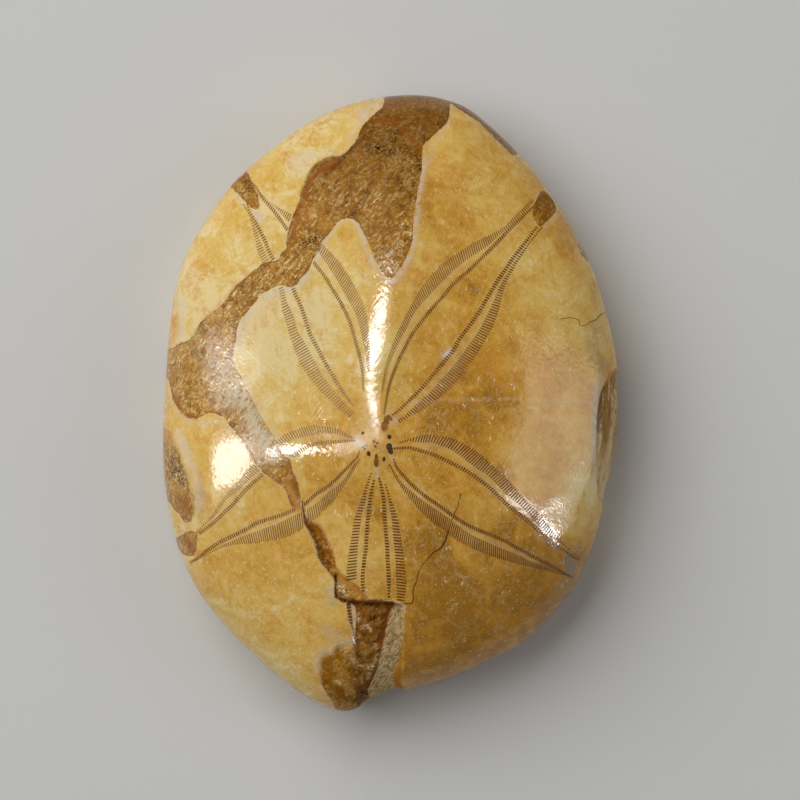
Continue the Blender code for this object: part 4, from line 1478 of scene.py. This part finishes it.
def reach_to(line, directions, target):
    """How far each point of a line is from another line along its direction."""
    reach = np.full(len(line), np.inf)
    for a, b in zip(target[:-1], target[1:]):
        step, gap = b - a, a - line
        cross = directions[:, 0] * step[1] - directions[:, 1] * step[0]
        cross = np.where(np.abs(cross) < 1e-9, 1e-9, cross)
        ahead = (gap[:, 0] * step[1] - gap[:, 1] * step[0]) / cross
        share = (gap[:, 0] * directions[:, 1] - gap[:, 1] * directions[:, 0]) / cross
        reach = np.where((ahead > 0) & (share >= 0) & (share <= 1) & (ahead < reach), ahead, reach)
    nearest = distance_to_line(line, target)
    return np.where(reach < STRAY_RATIO * nearest + STRAY_MORE, reach, nearest)


def run_group(carrier, group, values):
    """The plain mesh that a geometry node group makes from its guide, which is then removed."""
    modifier = carrier.modifiers.new("make", "NODES")
    modifier.node_group = group
    for item in group.interface.items_tree:
        if item.in_out == "INPUT" and item.name in values:
            modifier[item.identifier] = values[item.name]
    bpy.context.view_layer.update()
    graph = bpy.context.evaluated_depsgraph_get()
    made = bpy.data.meshes.new_from_object(carrier.evaluated_get(graph))
    carrier.modifiers.remove(modifier)
    bpy.data.objects.remove(carrier)
    return made


def joined(name, meshes, finish):
    """One object from several plain meshes."""
    points, faces, worn = [], [], []
    for mesh in meshes:
        start = len(points)
        points += [tuple(v.co) for v in mesh.vertices]
        faces += [tuple(start + i for i in p.vertices) for p in mesh.polygons]
        layer = mesh.attributes.get("worn")
        worn += [d.value for d in layer.data] if layer else [0.0] * len(mesh.vertices)
    whole = bpy.data.meshes.new(name)
    whole.from_pydata(points, [], faces)
    whole.materials.append(finish)
    add_attribute(whole, "worn", worn)
    return add_object(name, whole)


def make_star(stone, finish):
    """All the slits of the star."""
    group = slit_group()
    meshes = []

    def slits(line, across, spacing, width, taper, segments, wear):
        values = {
            "Stone": stone, "Finish": finish, "Lift": SLIT_LIFT, "Depth": SLIT_DEPTH, "Seed": len(meshes) + 3,
            "Spacing": spacing * SQUARE, "Slit width": width * SQUARE, "Taper": taper, "Segments": segments,
            "Wear": wear,
        }  # fmt: skip
        meshes.append(run_group(guide("slit_guide", line, across), group, values))

    for zone in PETAL_ZONES.values():
        spacing, wear = zone["spacing"], zone["wear"]
        inner, outer, row = (smooth_line(zone[part]) for part in ("inner", "outer", "row"))
        middle = len(inner) // 2
        outward = outer[len(outer) // 2] - inner[middle]
        sideways = 1 if combed(inner, 1, (0, 0))[middle] @ outward > 0 else -1
        directions = combed(inner, sideways, zone["lean"])
        across = directions * reach_to(inner, directions, outer)[:, None]
        slits(inner, across, spacing, ZONE_WIDTH * spacing, 0.0, 4, wear)
        across = combed(row, sideways, zone["lean"]) * ROW_LENGTH
        slits(row - across / 2, across, spacing, ROW_WIDTH * spacing, ROW_TAPER, 2, wear - ROW_WEAR)
    row = smooth_line(LOWER_ROW, 3)
    across = combed(row, 1, (0, 0)) * LOWER_ROW_LENGTH
    slits(row - across / 2, across, LOWER_ROW_SPACING, LOWER_ROW_WIDTH, 0.0, 2, 0.0)
    return joined("star_slits", meshes, finish)


def make_crown(stone, finish):
    """The pores and plates at the crown."""
    places, sizes, turns, rusty = zip(*CROWN_PORES)
    vectors = {"size": [(x * SQUARE, y * SQUARE, SLIT_DEPTH) for x, y in sizes]}
    numbers = {"turn": np.radians(turns), "worn": rusty}
    spots = plan_mesh("crown_guide", place(places), [], vectors, numbers)
    values = {
        "Stone": stone, "Finish": finish, "Lift": SLIT_LIFT, "Depth": SLIT_DEPTH,
        "Raggedness": PLATE_RAGGEDNESS,
    }  # fmt: skip
    return joined("crown_plates", [run_group(spots, plate_group(), values)], finish)


def make_cracks(stone, finish):
    group = crack_group()
    meshes = []
    values = {"Stone": stone, "Proud": CRACK_LIFT, "Wander": CRACK_WANDER, "Finish": finish}
    for points, thickness in CRACKS:
        values["Thickness"] = thickness * MM
        meshes.append(run_group(guide("crack_guide", smooth_line(points, 3)), group, values))
    return joined("hairline_cracks", meshes, finish)


# ---------------------------------------------------------------- floor, lights and camera
def make_floor():
    bpy.ops.mesh.primitive_plane_add(size=FLOOR_SIZE)
    floor = bpy.context.object
    floor.name = "floor"
    floor.data.materials.append(Finish("pale_floor").finish(rgb(216, 216, 214), 0.8, 0.1))


def add_lamp(name, tilt, turn, size, radiance, soft=False):
    """A rectangular lamp aimed at the stone. Tilt is its angle from overhead, turn its way round, and size
    its width and height, all in degrees as seen from the stone. A soft lamp lights it, the others only shine
    in its polish."""
    tilt, turn = radians(tilt), radians(turn)
    away = Vector((sin(tilt) * cos(turn), sin(tilt) * sin(turn), cos(tilt)))
    lamp = bpy.data.lights.new(name, "AREA")
    lamp.shape = "RECTANGLE"
    lamp.size, lamp.size_y = (2 * LAMP_DISTANCE * tan(radians(angle) / 2) for angle in size)
    lamp.energy = radiance * pi * lamp.size * lamp.size_y
    item = add_object(name, lamp)
    item.location = Vector((0, 0, HEIGHT)) + away * LAMP_DISTANCE
    item.rotation_euler = away.to_track_quat("Z", "Y").to_euler()
    item.visible_diffuse, item.visible_glossy = soft, not soft


def make_lights():
    world = bpy.data.worlds.new("studio")
    world.use_nodes = True
    sky = world.node_tree.nodes["Background"].inputs
    sky["Color"].default_value = (1.0, 0.99, 0.97, 1)
    sky["Strength"].default_value = 0.13
    bpy.context.scene.world = world
    add_lamp("soft_key", 42, 142, (58, 58), 2.5, soft=True)
    add_lamp("soft_fill", 50, 8, (24, 30), 1.4, soft=True)
    add_lamp("rear_window", 11.6, 102, (13, 10), 19)
    add_lamp("rear_window_glow", 11.8, 102, (22, 11), 3.5)
    add_lamp("left_window", 51, -174, (17, 23), 13)
    add_lamp("left_window_glow", 50, -174, (27, 34), 3.5)
    add_lamp("left_strip", 23, -168, (9, 14), 23)
    add_lamp("right_window", 67, -22, (9, 17), 22)
    add_lamp("right_window_glow", 65, -21, (14, 25), 4.0)
    add_lamp("right_strip", 42, -18, (8, 18), 10)
    add_lamp("right_haze", 60, -3, (28, 52), 2.0)


def make_camera():
    """The camera, straight above the middle of the chart, which just fills its frame."""
    data = bpy.data.cameras.new("camera")
    data.sensor_width = SENSOR_WIDTH
    data.lens = SENSOR_WIDTH * CAMERA_DISTANCE / (CHART_SIDE * SQUARE)
    camera = add_object("camera", data)
    camera.location = (*place((CHART_SIDE / 2, CHART_SIDE / 2)), RIM_HEIGHT + CAMERA_DISTANCE)
    bpy.context.scene.camera = camera


# ---------------------------------------------------------------- putting it together
def build():
    stone = make_stone()
    stone.data.materials.append(stone_finish("polished_fossil", 0.5))
    stone.data.materials.append(stone_finish("broken_rock", 0.05))
    star = make_star(stone, pore_finish())
    crown = make_crown(stone, plate_finish())
    cracks = make_cracks(stone, crack_finish())
    for piece in (stone, star, crown, cracks):
        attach(piece, "root")
    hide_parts("fossil_sea_urchin")


build()
make_floor()
make_lights()
make_camera()
bpy.context.scene.view_settings.view_transform = "Standard"
